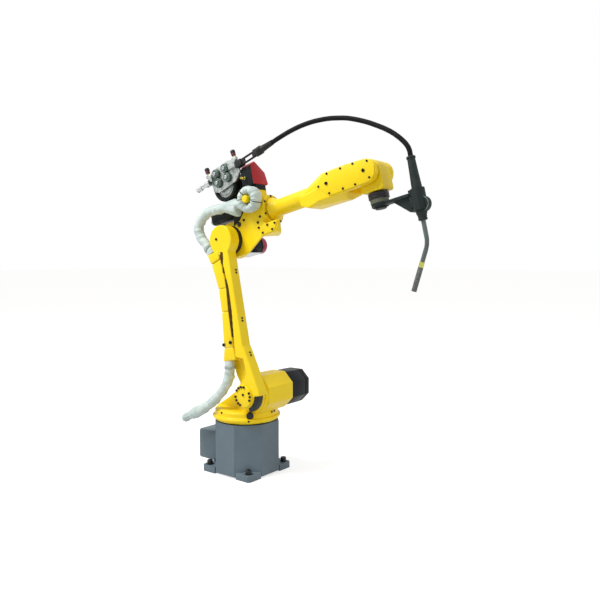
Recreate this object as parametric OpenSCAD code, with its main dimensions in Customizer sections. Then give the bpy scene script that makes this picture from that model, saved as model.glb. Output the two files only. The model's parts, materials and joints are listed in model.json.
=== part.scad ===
// Six-axis arc-welding robot arm on a floor pedestal, with its wire feeder,
// hose sleeves, torch cable and welding torch, in the pose of a raised forearm.
// Millimetres, +Z up, +X is the arm's front, origin under the first axis on the floor.

/* [Pedestal] */
// Width of the square foot of the pedestal
base_w = 330; // [310:2:370]
// Height of the pedestal
base_h = 272; // [256:1:290]
// Leg of the corner chamfers of the pedestal
base_chamfer = 99; // [92:1:108]
// Thickness of the corner foot pads
pad_t = 33; // [26:1:33]
// Length of a foot pad along each side
pad_leg = 91; // [80:1:105]
// Distance of the anchor holes from the outer sides
hole_inset = 28; // [25:1:32]
// Diameter of the anchor holes
hole_d = 22; // [16:1:24]
// Height of the relief under the pedestal between the pads
relief_h = 8; // [4:1:14]
// Length of the connector box behind the pedestal
box_len = 100; // [70:1:140]
// Width of the connector box
box_w = 180; // [140:2:200]
// Height of the connector box
box_h = 158; // [120:1:180]
// Height of the connector box over the floor
box_z = 34; // [30:1:50]

/* [Turret] */
// Radius of the turret flange
flange_r = 177; // [172:1:190]
// Thickness of the turret flange
flange_t = 27; // [20:1:34]
// Radius of the drum on the flange
drum_r = 164; // [156:1:168]
// Radius of the spigot that turns in the pedestal
spigot_r = 120; // [100:1:130]
// Forward offset of the shoulder axis
j2_x = 135; // [120:1:150]
// Height of the shoulder axis over the floor
j2_z = 432; // [426:1:450]
// Width of the turret's upper block
turret_w = 170; // [160:1:180]
// Width across the shoulder housing
housing_w = 188; // [180:1:196]
// Width across the shoulder motor
motor_w = 174; // [150:1:176]
// Length of the shoulder motor
motor_len = 155; // [120:1:180]

/* [Lower arm] */
// Distance from the shoulder axis to the elbow axis
arm_len = 785; // [770:1:810]
// Backward lean of the lower arm in degrees
arm_lean = 11.6; // [8:0.2:14]
// Thickness of the lower arm
arm_t = 60; // [54:1:66]
// Radius of the lower arm at the shoulder
hub_r = 86; // [80:1:88]
// Radius of the elbow boss
boss_r = 75; // [70:1:78]
// Width of the hose guide at its foot
guide_w = 87; // [82:1:90]
// Diameter of the hose sleeves
hose_d = 50; // [44:1:51]

/* [Elbow] */
// Distance from the elbow axis to the forearm axis
j4_offset = 100; // [96:1:104]
// Upward pitch of the forearm in degrees
forearm_pitch = 13; // [11:0.2:15]
// Width of the elbow casting
elbow_w = 160; // [150:1:164]
// Radius of the elbow housing
elbow_r = 93; // [86:1:96]
// Distance from the elbow axis to the forearm's seat, along the forearm
elbow_len = 240; // [234:1:246]
// Height of the elbow casting's top over the elbow axis
elbow_top = 206; // [202:1:210]
// Width across the two wrist motors behind the elbow
wrist_motor_w = 82; // [70:1:84]
// Length of the wrist motors
wrist_motor_len = 176; // [140:1:190]

/* [Forearm] */
// Distance from the elbow axis to the wrist bend axis, along the forearm
j5_along = 840; // [820:1:860]
// Diameter of the forearm tube
tube_d = 84; // [76:1:90]
// Width of the wrist housing
fork_w = 156; // [150:1:160]
// Width of the gap between the two cheeks of the fork
fork_gap = 104; // [98:1:110]
// Half height of the wrist housing at its middle
fork_h = 82; // [78:1:84]
// Half height of the housing's flat sides
side_h = 57; // [54:1:60]
// Radius of the rounded end of the cheeks
cheek_r = 55; // [52:1:58]
// Thickness of the two side covers
cover_t = 4; // [3:0.5:6]

/* [Tool] */
// Distance from the wrist bend axis to the foot of the tool flange
flange_drop = 119; // [116:1:126]
// Radius of the tool flange
tool_flange_r = 47; // [44:1:50]
// Distance of the torch axis ahead of the last axis
torch_reach = 187; // [180:1:200]
// Diameter of the torch's swan neck
neck_d = 20; // [16:1:24]
// Diameter of the torch cable
cable_d = 22; // [18:1:24]

/* [Clearances] */
// Gap between faces that move past each other
run_gap = 5; // [5:0.5:6]
// Radial clearance of a shaft in its bore
shaft_clear = 0.3; // [0.2:0.1:0.5]

/* [Hidden] */
$fn = 64;

robot_yellow = [0.98, 0.80, 0.07];
base_grey = [0.33, 0.39, 0.43];
motor_black = [0.08, 0.09, 0.10];
sleeve_grey = [0.68, 0.74, 0.72];
steel = [0.70, 0.71, 0.72];
torch_dark = [0.14, 0.17, 0.17];
feeder_red = [0.70, 0.04, 0.08];
cap_red = [0.62, 0.06, 0.25];
brass = [0.72, 0.60, 0.22];

// Elbow axis, from the shoulder axis and the lean
j3_x = j2_x - arm_len * sin(arm_lean);
j3_z = j2_z + arm_len * cos(arm_lean);

// Side faces of the lower arm, across the machine
boss_t = 15;
arm_in = -(turret_w / 2 + boss_t + run_gap);
arm_out = arm_in - arm_t;
web_t = 8;

// Frames of the moving bodies at rest
module in_lower_arm() translate([j2_x, 0, j2_z]) rotate([0, -arm_lean, 0]) children();
module in_upper_arm() translate([j3_x, 0, j3_z]) rotate([0, -forearm_pitch, 0]) children();
module in_forearm() in_upper_arm() translate([0, 0, j4_offset]) children();
module in_wrist() in_forearm() translate([j5_along, 0, 0]) children();

// Flat outline in X and Z, given a thickness across the machine
module slab(y0, y1) translate([0, y1, 0]) rotate([90, 0, 0]) linear_extrude(y1 - y0) children();
module y_rod(r, y0, y1) translate([0, y1, 0]) rotate([90, 0, 0]) cylinder(r = r, h = y1 - y0);
module x_rod(r, x0, x1) translate([x0, 0, 0]) rotate([0, 90, 0]) cylinder(r = r, h = x1 - x0);

// Square with equal corner chamfers, centred
module chamfered_square(w, c) {
  h = w / 2;
  polygon([[h, h - c], [h - c, h], [c - h, h], [-h, h - c],
           [-h, c - h], [c - h, -h], [h - c, -h], [h, c - h]]);
}

// Round tube swept along one stretch of a route of points, flat at both ends.
// Its first end stays a hair clear of what it starts from.
cord_gap = 0.3;
function unit(v) = v / norm(v);
function heading(path, i) =
  unit(path[min(i + 1, len(path) - 1)] - path[max(i - 1, 0)]);
function ring(p, t, r, sides) =
  let (side = unit(cross(t, [0, 1, 0])), up = cross(side, t))
  [for (k = [0 : sides - 1]) p + r * (cos(360 * k / sides) * side + sin(360 * k / sides) * up)];
module tube(path, first, last, d, sides = 10) {
  rings = last - first + 1;
  lead = cord_gap * heading(path, first);
  points = [for (i = [first : last])
    each ring(path[i] + (i == first ? lead : [0, 0, 0]), heading(path, i), d / 2, sides)];
  walls = [for (i = [0 : rings - 2], k = [0 : sides - 1])
    [i * sides + k, (i + 1) * sides + k,
     (i + 1) * sides + (k + 1) % sides, i * sides + (k + 1) % sides]];
  head = [[for (k = [0 : sides - 1]) k]];
  tail = [[for (k = [sides - 1 : -1 : 0]) (rings - 1) * sides + k]];
  polyhedron(points = points, faces = concat(walls, head, tail), convexity = 6);
}

// Pedestal

spigot_h = 30;
hole_at = base_w / 2 - hole_inset;
pad_corner = 10;
module foot_pad() {
  far = base_w / 2;
  near = far - pad_leg;
  linear_extrude(pad_t) polygon([[near, near], [far, near], [far, far - pad_corner],
                                 [far - pad_corner, far], [near, far]]);
}
module pedestal_column() linear_extrude(base_h) chamfered_square(base_w, base_chamfer);
module pedestal() color(base_grey) difference() {
  union() {
    pedestal_column();
    for (a = [0 : 90 : 270]) rotate(a) foot_pad();
  }
  for (a = [0, 90]) rotate(a) translate([-base_w, pad_leg - base_w / 2, -1])
    cube([2 * base_w, base_w - 2 * pad_leg, relief_h + 1]);
  for (sx = [-1, 1], sy = [-1, 1]) translate([sx * hole_at, sy * hole_at, -1])
    cylinder(d = hole_d, h = pad_t + 2);
  translate([0, 0, base_h - spigot_h - run_gap])
    cylinder(r = spigot_r + shaft_clear, h = spigot_h + run_gap + 1);
}

// Connector box and its panel, behind the pedestal

box_back = -base_w / 2 - box_len;
box_front = base_chamfer + box_w / 2 - base_w;
box_edge = 8;
panel_t = 5;
panel_margin = 12;
module connector_box() color(base_grey) difference() {
  translate([box_back, 0, box_z]) rotate([90, 0, 90]) linear_extrude(box_front - box_back)
    polygon([[box_w / 2, box_edge], [box_w / 2, box_h - box_edge], [box_w / 2 - box_edge, box_h],
             [box_edge - box_w / 2, box_h], [-box_w / 2, box_h - box_edge], [-box_w / 2, box_edge],
             [box_edge - box_w / 2, 0], [box_w / 2 - box_edge, 0]]);
  pedestal_column();
}

socket_r = 17;
socket_len = 16;
module connector_panel() color(base_grey) {
  panel_w = box_w - 2 * panel_margin;
  panel_h = box_h - 2 * panel_margin;
  centre_z = box_z + box_h / 2;
  translate([box_back - panel_t, -panel_w / 2, centre_z - panel_h / 2])
    cube([panel_t, panel_w, panel_h]);
  for (s = [-1, 1]) translate([box_back - panel_t - socket_len, 0, centre_z]) {
    translate([0, s * panel_w / 4 - 22, 4]) cube([socket_len, 44, 40]);
    translate([0, s * panel_w / 4, -36]) rotate([0, 90, 0]) cylinder(r = socket_r, h = socket_len);
  }
}

// Turret: flange and drum on the first axis, upper block and shoulder housing

flange_z0 = base_h + run_gap;
flange_z1 = flange_z0 + flange_t;
drum_h = 34;
drum_z = flange_z1 + drum_h;
shoulder_shaft_r = 55;
shoulder_shaft_len = 44;
housing_end = 105;
module turret_casting() color(robot_yellow) difference() {
  union() {
    rotate_extrude() polygon([
      [0, base_h - spigot_h], [spigot_r, base_h - spigot_h], [spigot_r, flange_z0],
      [flange_r - 12, flange_z0], [flange_r, flange_z0 + 14], [flange_r, flange_z1],
      [drum_r, flange_z1], [drum_r, drum_z - 8], [drum_r - 12, drum_z], [0, drum_z]]);
    slab(-turret_w / 2, turret_w / 2) polygon([
      [-drum_r + 22, drum_z - 6], [-60, drum_z + 46], [j2_x - 70, j2_z + 40],
      [j2_x, j2_z + 40], [j2_x, drum_z - 6]]);
    translate([j2_x, 0, j2_z]) {
      slab(-turret_w / 2, housing_end) chamfered_square(housing_w, 54);
      y_rod(hub_r, -turret_w / 2 - boss_t, -turret_w / 2);
    }
  }
  translate([j2_x, 0, j2_z])
    y_rod(shoulder_shaft_r + shaft_clear, arm_in, arm_in + shoulder_shaft_len + run_gap);
}

module j2_motor() color(motor_black) translate([j2_x, 0, j2_z])
  slab(housing_end, housing_end + motor_len) chamfered_square(motor_w, 46);

// Lower arm: a box beam beside the turret, with the hose guide on its rear web

elbow_shaft_r = 50;
elbow_shaft_len = 34;
hub_face_r = 62;
hub_plate_t = 14;
skirt_t = 4;
lip_u = -8;
lip_f = 101;
beam_top = arm_len - 60;
waist_u = arm_len - 185;
guide_foot = 182;
guide_top = arm_len - 85;
guide_low_seam = guide_foot + 0.125 * (guide_top - guide_foot);
guide_mid_seam = guide_foot + 0.475 * (guide_top - guide_foot);
guide_high_seam = guide_foot + 0.70 * (guide_top - guide_foot);
module lower_arm_casting() color(robot_yellow) in_lower_arm() difference() {
  union() {
    slab(arm_out, arm_in) polygon([
      [lip_f - 43, lip_u], [lip_f, lip_u], [lip_f - 2, 15], [75, 123], [51, 217],
      [40, guide_low_seam], [40, beam_top], [-12, beam_top], [-2, waist_u], [6, guide_high_seam],
      [3, guide_mid_seam], [-16, guide_low_seam], [-18, guide_foot + 13], [31, guide_foot], [36, 107], [8, 72], [-30, 30], [0, 0]]);
    slab(arm_in - web_t, arm_in) polygon([
      [36, 107], [31, guide_foot], [20, waist_u], [0, beam_top], [-84, guide_top],
      [-60, guide_high_seam], [-84, guide_low_seam], [-92, guide_foot + 4],
      [-44, guide_foot - 2], [-30, 107]]);
    slab(arm_in - skirt_t, arm_in) polygon([
      [36, 107], [31, guide_foot], [-90, guide_foot + 6], [-84, 107], [-60, 50], [8, 60]]);
    y_rod(hub_face_r, arm_out, arm_in);
    y_rod(hub_r, arm_in - hub_plate_t, arm_in);
    y_rod(shoulder_shaft_r, arm_in, arm_in + shoulder_shaft_len);
    translate([0, 0, arm_len]) y_rod(boss_r, arm_out, arm_in);
  }
  translate([0, 0, arm_len])
    y_rod(elbow_shaft_r + shaft_clear, arm_in - elbow_shaft_len - 2, arm_in + 1);
}

cap_t = 9;
module j2_hub_cap() color(robot_yellow) in_lower_arm()
  y_rod(hub_face_r - 7, arm_out - cap_t, arm_out);

// Black plug in the open lower end of the beam, in front of the shoulder hub
module arm_end_plug() color(motor_black) in_lower_arm() difference() {
  y_rod(hub_r - 2, arm_out + 6, arm_in - hub_plate_t);
  y_rod(hub_face_r, arm_out - 1, arm_in);
  translate([-200, arm_out - 1, lip_u]) cube([400, arm_t + 2, 200]);
  translate([-200, arm_out - 1, -200]) cube([200 + 12, arm_t + 2, 400]);
}

// Hose guide: covers in a row along the rear of the arm, a seam apart
seam = 1;
guide_rows = [[guide_foot, -20, 1], [guide_low_seam, -24, 0.74], [guide_mid_seam, -19, 0.54],
              [guide_high_seam, -8, 0.63], [guide_top, -20, 0.8]];
guide_out = arm_out;
guide_in = arm_in - web_t;
function guide_left(row) = row[1] - guide_w * row[2];
module guide_cover(low, high) slab(guide_out, guide_in) polygon([
  [low[1], low[0] + seam], [high[1], high[0]],
  [guide_left(high), high[0]], [guide_left(low), low[0] + seam]]);
hose_mouth = [-96, guide_top + 27];
mouth_half = 30;
module cable_guide() color(robot_yellow) in_lower_arm() {
  for (i = [0 : len(guide_rows) - 2]) guide_cover(guide_rows[i], guide_rows[i + 1]);
  slab(guide_out, guide_in) polygon([
    [guide_rows[4][1], guide_top + seam],
    hose_mouth + mouth_half * [0.8, 0.6], hose_mouth - mouth_half * [0.8, 0.6],
    [guide_left(guide_rows[4]), guide_top + seam]]);
}

// Hose sleeves of the lower arm, as routes of forward, across and up from the shoulder axis
hose_y = (guide_out + guide_in) / 2;
lower_hose_route = [
  [-84, -145, guide_foot + seam], [-84, -145, 150], [-97, -144, 117], [-115, -144, 84], [-145, -147, 50],
  [-182, -150, 20], [-226, -154, -7], [-274, -158, -30], [-324, -161, -47], [-374, -164, -61],
  [-420, -166, -73], [-456, -168, -82]];
upper_hose_route = [
  [hose_mouth[0], hose_y, hose_mouth[1]], [-120, hose_y, 759], [-146, -140, 793], [-166, -140, 828],
  [-174, -140, 864], [-164, -139, 902], [-138, -138, 930], [-100, -136, 945], [-56, -134, 950],
  [-10, -132, 948], [36, -130, 945], [80, -130, 943], [116, -130, 942]];
module lower_hose() color(sleeve_grey) in_lower_arm()
  tube(lower_hose_route, 0, len(lower_hose_route) - 1, hose_d);
module upper_hose() color(sleeve_grey) in_lower_arm()
  tube(upper_hose_route, 0, len(upper_hose_route) - 1, hose_d);

// Bands that tie the sleeves, just outside the guide
band_w = 14;
module hose_band(path, i) {
  t = heading(path, i);
  translate(path[i]) rotate([0, atan2(t[0], t[2]), 0]) difference() {
    cylinder(d = hose_d + 8, h = band_w, center = true);
    cylinder(d = hose_d + 1.6, h = band_w + 2, center = true);
  }
}
module hose_clamps() color(motor_black) in_lower_arm() {
  hose_band(lower_hose_route, 1);
  hose_band(upper_hose_route, 1);
}

// Elbow casting: housing on the elbow axis, thin beside its motor, and block for the forearm axis

elbow_y = elbow_w / 2;
housing_y = -25;
plate_y = -68;
seal_r = 66;
root_r = 62;
seat_r = 78;
roll_shaft_r = 38;
roll_shaft_len = 58;
motor_face = 52;
block_front = 223;
block_far_edge = -9;
block_far_end = 150;
nose_end = 322;
nose_top = 28;
nose_low = -30;
module block_plan() polygon([
  [motor_face, -elbow_y], [block_front, -elbow_y], [block_front, block_far_edge],
  [block_far_end, elbow_y], [motor_face, elbow_y]]);
module j3_casting() color(robot_yellow) in_upper_arm() difference() {
  union() {
    y_rod(elbow_r, -elbow_y, housing_y);
    y_rod(seal_r, arm_in + run_gap, -elbow_y);
    y_rod(elbow_shaft_r, arm_in - elbow_shaft_len, -elbow_y);
    intersection() {
      linear_extrude(elbow_top) block_plan();
      slab(-elbow_y, elbow_y) polygon([
        [motor_face, nose_top], [block_front, nose_top], [block_front, elbow_top],
        [base_start, elbow_top], [base_start - 20, elbow_top - 20],
        [motor_face, elbow_top - 20]]);
    }
    translate([0, 0, j4_offset]) x_rod(seat_r, motor_face + 60, elbow_len);
    intersection() {
      slab(-elbow_y, elbow_y) polygon([
        [75, nose_low], [204, nose_low], [nose_end - 30, nose_low + 3], [nose_end, 8],
        [nose_end, nose_top], [elbow_len, nose_top], [block_front, 40], [motor_face, 40]]);
      translate([0, 0, nose_low - 1]) linear_extrude(80) polygon([
        [motor_face, -elbow_y], [nose_end - 10, -elbow_y], [nose_end - 4, -62], [262, 0],
        [block_front, 30], [200, plate_y], [motor_face, plate_y]]);
    }
    slab(-elbow_y, plate_y) polygon([
      [204, nose_low], [96, 3 - elbow_r], [0, 3 - elbow_r], [-60, 50], [0, 84],
      [motor_face, 96], [204, 96]]);
  }
  translate([0, 0, j4_offset])
    x_rod(roll_shaft_r + shaft_clear, elbow_len - roll_shaft_len, elbow_len + 1);
}

side_cover_t = 4;
module j3_side_cover() color(robot_yellow) in_upper_arm()
  slab(-elbow_y - side_cover_t, -elbow_y) polygon([
    [184, nose_top - 2], [nose_end - 12, nose_top - 4], [nose_end - 12, 8],
    [nose_end - 36, nose_low + 8], [206, nose_low + 6]]);

j3_motor_at = [-9, 0, -21];
j3_motor_w = 94;
j3_motor_len = 140;
j3_cap_len = 42;
module j3_motor() color(motor_black) in_upper_arm() translate(j3_motor_at)
  slab(housing_y, housing_y + j3_motor_len) chamfered_square(j3_motor_w, 22);
module j3_motor_cap() color(cap_red) in_upper_arm() translate(j3_motor_at)
  rotate([-90, 0, 0]) translate([0, 0, housing_y + j3_motor_len]) rotate_extrude() polygon([
    [0, 0], [j3_motor_w / 2 - 2, 0], [j3_motor_w / 2 - 2, j3_cap_len - 8],
    [j3_motor_w / 2 - 10, j3_cap_len], [0, j3_cap_len]]);

j4_motor_at = [104, 0, j4_offset];
module j4_motor() color(motor_black) in_upper_arm() translate(j4_motor_at) {
  slab(elbow_y, elbow_y + 62) chamfered_square(wrist_motor_w, 16);
  y_rod(wrist_motor_w / 2 - 4, elbow_y + 62, elbow_y + 92);
}

wrist_motor_u = 146;
plug_len = 26;
module wrist_motors() color(motor_black) in_upper_arm() for (s = [-1, 1])
  translate([motor_face, s * (wrist_motor_w / 2 - 1), wrist_motor_u]) {
    rotate([0, -90, 0]) linear_extrude(wrist_motor_len) chamfered_square(wrist_motor_w - 4, 16);
    translate([0, 0, -12]) x_rod(17, -wrist_motor_len - plug_len, -wrist_motor_len);
    translate([0, 0, 22]) x_rod(11, -wrist_motor_len - plug_len / 2, -wrist_motor_len);
  }

// Gathered sleeve round its post, on the near side of the elbow

wrap_at = [193, 0, 158];
wrap_r = 70;
wrap_t = 66;
post_r = 18;
module hose_wrap() color(sleeve_grey) in_upper_arm() translate(wrap_at)
  rotate([90, 0, 0]) translate([0, 0, elbow_y + shaft_clear]) rotate_extrude() polygon([
    [post_r + 4, 8], [post_r + 12, 0], [wrap_r - 18, 0], [wrap_r, 18], [wrap_r, wrap_t - 18],
    [wrap_r - 18, wrap_t], [post_r + 12, wrap_t], [post_r + 4, wrap_t - 8]]);
module wrap_post() color(robot_yellow) in_upper_arm() translate(wrap_at)
  y_rod(post_r, -elbow_y - wrap_t - 6, -elbow_y);

// Wire feeder on top of the elbow

feeder_a = 31;
feeder_u = 330;
wire_tilt = 8;
wire_y = -108;
plate_back = -85;
plate_t = 12;
plate_front = plate_back - plate_t;
module in_feeder() in_upper_arm() translate([feeder_a, 0, feeder_u])
  rotate([0, -wire_tilt, 0]) children();

base_start = 112;
base_t = 26;
side_plate_t = 4;
cover_start = 154;
cover_near = -96;
upright_y = -12;
gear_at = [-20, 0, -45];
gear_r = 80;
base_top = elbow_top + base_t;
lip_t = 3;
module feeder_base() color(motor_black) in_upper_arm() {
  translate([0, 0, elbow_top]) linear_extrude(base_t) intersection() {
    block_plan();
    translate([base_start, -elbow_y]) square([block_front, elbow_w - 22]);
  }
  translate([-20, upright_y, base_top - 1]) cube([168, -upright_y, 92]);
  translate([cover_start, cover_near - side_plate_t, base_top - lip_t])
    cube([block_front - cover_start, side_plate_t - cover_near - elbow_y + 1, lip_t]);
  slab(cover_near - side_plate_t, cover_near) polygon([
    [cover_start, base_top - lip_t], [block_front, base_top - lip_t], [block_front, base_top + 92],
    [cover_start, base_top + 88]]);
}
module feeder_gear_housing() color(motor_black) in_feeder() translate(gear_at)
  y_rod(gear_r, plate_back, upright_y);
module feeder_motor() color(motor_black) in_feeder() translate(gear_at) {
  y_rod(42, 0, 70);
  y_rod(34, 70, 92);
}
module feeder_cover() color(feeder_red) in_upper_arm() translate([cover_start, 0, base_top])
  rotate([90, 0, 90]) linear_extrude(block_front - cover_start) polygon([
    [cover_near, 0], [10, 0], [18, 8], [6, 66], [-60, 119], [cover_near + 8, 102], [cover_near, 90]]);

module drive_plate() color(steel) in_feeder() slab(plate_front, plate_back) polygon([
  [-88, -52], [-50, -70], [70, -62], [116, -30], [116, 40], [60, 58], [-50, 58], [-88, 30]]);

roll_w = 34;
roll_v = 24.5;
roll_r = 22.5;
roll_t = 22;
module drive_rolls() color(steel) in_feeder()
  for (sw = [-1, 1], sv = [-1, 1]) translate([sw * roll_w, 0, sv * roll_v]) {
    y_rod(roll_r, plate_front - roll_t, plate_front);
    y_rod(9, plate_front - roll_t - 5, plate_front - roll_t);
  }

knob_at = [[115, 46], [-83, 42]];
knob_r = 13;
knob_len = 38;
pressure_t = 20;
module pressure_arms() color(steel) in_feeder() slab(plate_front - pressure_t, plate_front) {
  polygon([[62, 0], [110, 0], [112, 20], [129, 28], [129, 46], [101, 46], [84, 34], [62, 30]]);
  polygon([[-62, 0], [-76, 0], [-97, 28], [-97, 42], [-69, 42], [-62, 30]]);
}
module pressure_knobs() color(motor_black) in_feeder() for (k = knob_at)
  translate([k[0], plate_front - pressure_t / 2, k[1]]) {
    cylinder(r = 6, h = 8);
    translate([0, 0, 8]) cylinder(r = knob_r, h = knob_len - 8);
  }

module wire_inlet() color(steel) in_feeder() translate([0, wire_y, 0]) {
  x_rod(16, -116, -88);
  x_rod(10, -150, -116);
  x_rod(13, -184, -150);
}

outlet_start = 116;
outlet_end = 270;
outlet_half = 16;
window_at = 176;
window_w = 54;
window_h = 18;
window_wall = 12;
window_rim = 16;
module wire_outlet() color(motor_black) in_feeder() difference() {
  translate([outlet_start, wire_y - outlet_half, -outlet_half])
    cube([outlet_end - outlet_start, 2 * outlet_half, 2 * outlet_half]);
  translate([window_at, wire_y - outlet_half - 1, -window_h / 2])
    cube([window_w, 2 * outlet_half + 2, window_h]);
  for (s = [-1, 1])
    translate([window_at - window_rim, wire_y + s * (outlet_half + window_wall / 2) - outlet_half, -outlet_half - 1])
      cube([window_w + 2 * window_rim, 2 * outlet_half, 2 * outlet_half + 2]);
}

relief_end = 366;
module cable_connector() color(motor_black) in_feeder() translate([0, wire_y, 0]) {
  x_rod(21, outlet_end, outlet_end + 22);
  x_rod(16, outlet_end + 22, outlet_end + 42);
  x_rod(13.5, outlet_end + 42, relief_end);
}

// Torch cable, as a route of along, across and up from the elbow axis

cable_start = [feeder_a + relief_end * cos(wire_tilt), wire_y, feeder_u + relief_end * sin(wire_tilt)];
handle_top = 13;
cable_end = [j5_along + torch_reach, 0, j4_offset + handle_top];
cable_route = [
  cable_start, [443, -108, 388], [495, -103, 396], [550, -92, 403], [605, -79, 405], [650, -67, 402],
  [695, -55, 395], [736, -44, 384], [776, -36, 370], [820, -27, 348], [862, -19, 323], [900, -12, 296],
  [936, -7, 268], [970, -3, 236], [998, -1, 202], [1018, 0, 170], [1027, 0, 142], cable_end];
cable_at_forearm = 7;
cable_at_wrist = 13;
module torch_cable_rear() color(motor_black) in_upper_arm()
  tube(cable_route, 0, cable_at_forearm, cable_d);
module torch_cable_middle() color(motor_black) in_upper_arm()
  tube(cable_route, cable_at_forearm, cable_at_wrist, cable_d);
module torch_cable_front() color(motor_black) in_upper_arm()
  tube(cable_route, cable_at_wrist, len(cable_route) - 1, cable_d);

// Forearm: tube on the forearm axis, widening to the fork of the wrist

root_start = elbow_len + run_gap;
root_t = 40;
tube_r = tube_d / 2;
fork_y = fork_w / 2;
cheek_y = fork_gap / 2;
core_end = j5_along - 124;
cheek_low = -56;
wrist_pin_r = 30;
wrist_pin_len = 22;
widen_at = 440;
flare_end = widen_at + 200;
flare_r = 102;
ridge_y = 12;
module housing_section(start, end) translate([start, 0, 0]) rotate([90, 0, 90])
  linear_extrude(end - start) polygon([
    [-fork_y, -side_h], [-ridge_y, -fork_h], [ridge_y, -fork_h], [fork_y, -side_h],
    [fork_y, side_h], [ridge_y, fork_h], [-ridge_y, fork_h], [-fork_y, side_h]]);
module forearm_casting() color(robot_yellow) in_forearm() difference() {
  union() {
    x_rod(roll_shaft_r, root_start - roll_shaft_len + run_gap + 2, root_start);
    translate([root_start, 0, 0]) rotate([0, 90, 0]) cylinder(r1 = root_r, r2 = tube_r, h = root_t);
    x_rod(tube_r, root_start + root_t, widen_at + 40);
    intersection() {
      slab(-fork_y, fork_y) polygon([
        [widen_at, -tube_r], [widen_at + 50, -66], [core_end - 20, -80], [core_end, cheek_low],
        [core_end, fork_h], [widen_at, fork_h]]);
      translate([0, 0, -fork_h]) linear_extrude(2 * fork_h) polygon([
        [widen_at, -tube_r], [widen_at + 130, -fork_y], [core_end, -fork_y], [core_end, fork_y],
        [widen_at + 130, fork_y], [widen_at, tube_r]]);
      housing_section(widen_at, core_end);
      union() {
        translate([widen_at, -fork_y, -fork_h]) cube([core_end - widen_at, fork_w, fork_h]);
        translate([widen_at + 40, 0, 0]) rotate([0, 90, 0])
          cylinder(r1 = tube_r, r2 = flare_r, h = flare_end - widen_at - 40);
        x_rod(flare_r, flare_end, core_end);
      }
    }
    for (s = [-1, 1]) cheek(s);
  }
  translate([j5_along, 0, 0])
    y_rod(wrist_pin_r + shaft_clear, -cheek_y - wrist_pin_len, cheek_y + wrist_pin_len);
}
module cheek(side) {
  y0 = side > 0 ? cheek_y : -fork_y;
  y1 = side > 0 ? fork_y : -cheek_y;
  intersection() {
    slab(y0, y1) polygon([[core_end - 5, cheek_low], [j5_along, -cheek_r],
                          [j5_along, cheek_r], [core_end - 5, side_h + 12]]);
    housing_section(core_end - 10, j5_along);
  }
  translate([j5_along, 0, 0]) y_rod(cheek_r, y0, y1);
}

module side_covers() color(robot_yellow) in_forearm() for (s = [-1, 1])
  slab(s > 0 ? fork_y : -fork_y - cover_t, s > 0 ? fork_y + cover_t : -fork_y) polygon([
    [widen_at + 138, 8], [widen_at + 196, side_h - 1], [core_end, side_h - 1],
    [j5_along + 8, cheek_r - 2], [j5_along + 37, cheek_r - 17], [j5_along + 51, 10],
    [j5_along + 45, -25], [j5_along + 22, cheek_low + 8], [j5_along - 10, cheek_low + 6],
    [widen_at + 196, cheek_low + 6]]);

// Wrist block, in the fork

block_y = fork_gap / 2 - run_gap;
drum_end = 56;
block_foot = -88;
flange_shaft_r = 25;
flange_shaft_len = 36;
module wrist_block() color(robot_yellow) in_wrist() difference() {
  union() {
    y_rod(drum_end, -block_y, block_y);
    y_rod(wrist_pin_r, -cheek_y - wrist_pin_len + 2, cheek_y + wrist_pin_len - 2);
    slab(-block_y, block_y) polygon([
      [-50, block_foot], [50, block_foot], [drum_end, block_foot + 8], [drum_end, 0],
      [-drum_end, 0], [-58, -50]]);
  }
  translate([0, 0, block_foot - 1])
    cylinder(r = flange_shaft_r + shaft_clear, h = flange_shaft_len + 3);
}

// Tool: flange, adaptor, bracket, clamp and torch on the last axis

flange_top = block_foot - run_gap;
module tool_flange() color(motor_black) in_wrist() {
  translate([0, 0, -flange_drop]) cylinder(r = tool_flange_r, h = flange_top + flange_drop);
  translate([0, 0, flange_top]) cylinder(r = flange_shaft_r, h = flange_shaft_len);
}
adaptor_t = 21;
adaptor_r = 42;
bracket_top = -flange_drop - adaptor_t;
bracket_t = 14;
module torch_adaptor() color(torch_dark) in_wrist() translate([0, 0, bracket_top])
  cylinder(r = adaptor_r, h = adaptor_t);

clamp_back = 37;
clamp_low = -222;
clamp_high = -128;
handle_r = 24;
module torch_bracket() color(torch_dark) in_wrist() {
  translate([0, 0, bracket_top - bracket_t]) cylinder(r = adaptor_r - 2, h = bracket_t);
  translate([0, 0, bracket_top - bracket_t - 10]) cylinder(r = 26, h = 10);
  translate([0, -22, bracket_top - bracket_t]) cube([torch_reach - clamp_back, 44, bracket_t]);
  slab(-6, 6) polygon([
    [adaptor_r + 24, bracket_top - bracket_t], [torch_reach - clamp_back, bracket_top - bracket_t],
    [torch_reach - clamp_back, clamp_low + 4], [torch_reach - clamp_back - 12, clamp_low + 4]]);
}
module torch_clamp() color(torch_dark) in_wrist() translate([torch_reach, 0, 0]) difference() {
  union() {
    translate([0, 0, clamp_low]) cylinder(r = handle_r + 8, h = clamp_high - clamp_low);
    translate([-clamp_back, -16, clamp_low]) cube([clamp_back, 32, clamp_high - clamp_low]);
    translate([14, 0, -198]) y_rod(34, -12, 12);
  }
  translate([0, 0, -300]) cylinder(r = handle_r + shaft_clear, h = 300);
}
body_low = -265;
module torch_handle() color(torch_dark) in_wrist() translate([torch_reach, 0, 0])
  rotate_extrude() polygon([
    [0, handle_top], [20, handle_top], [20, handle_top - 10], [17, handle_top - 12],
    [handle_r - 1, clamp_high + 4], [handle_r, clamp_high], [handle_r, clamp_low - 14],
    [20, clamp_low - 20], [20, body_low], [0, body_low]]);

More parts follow.
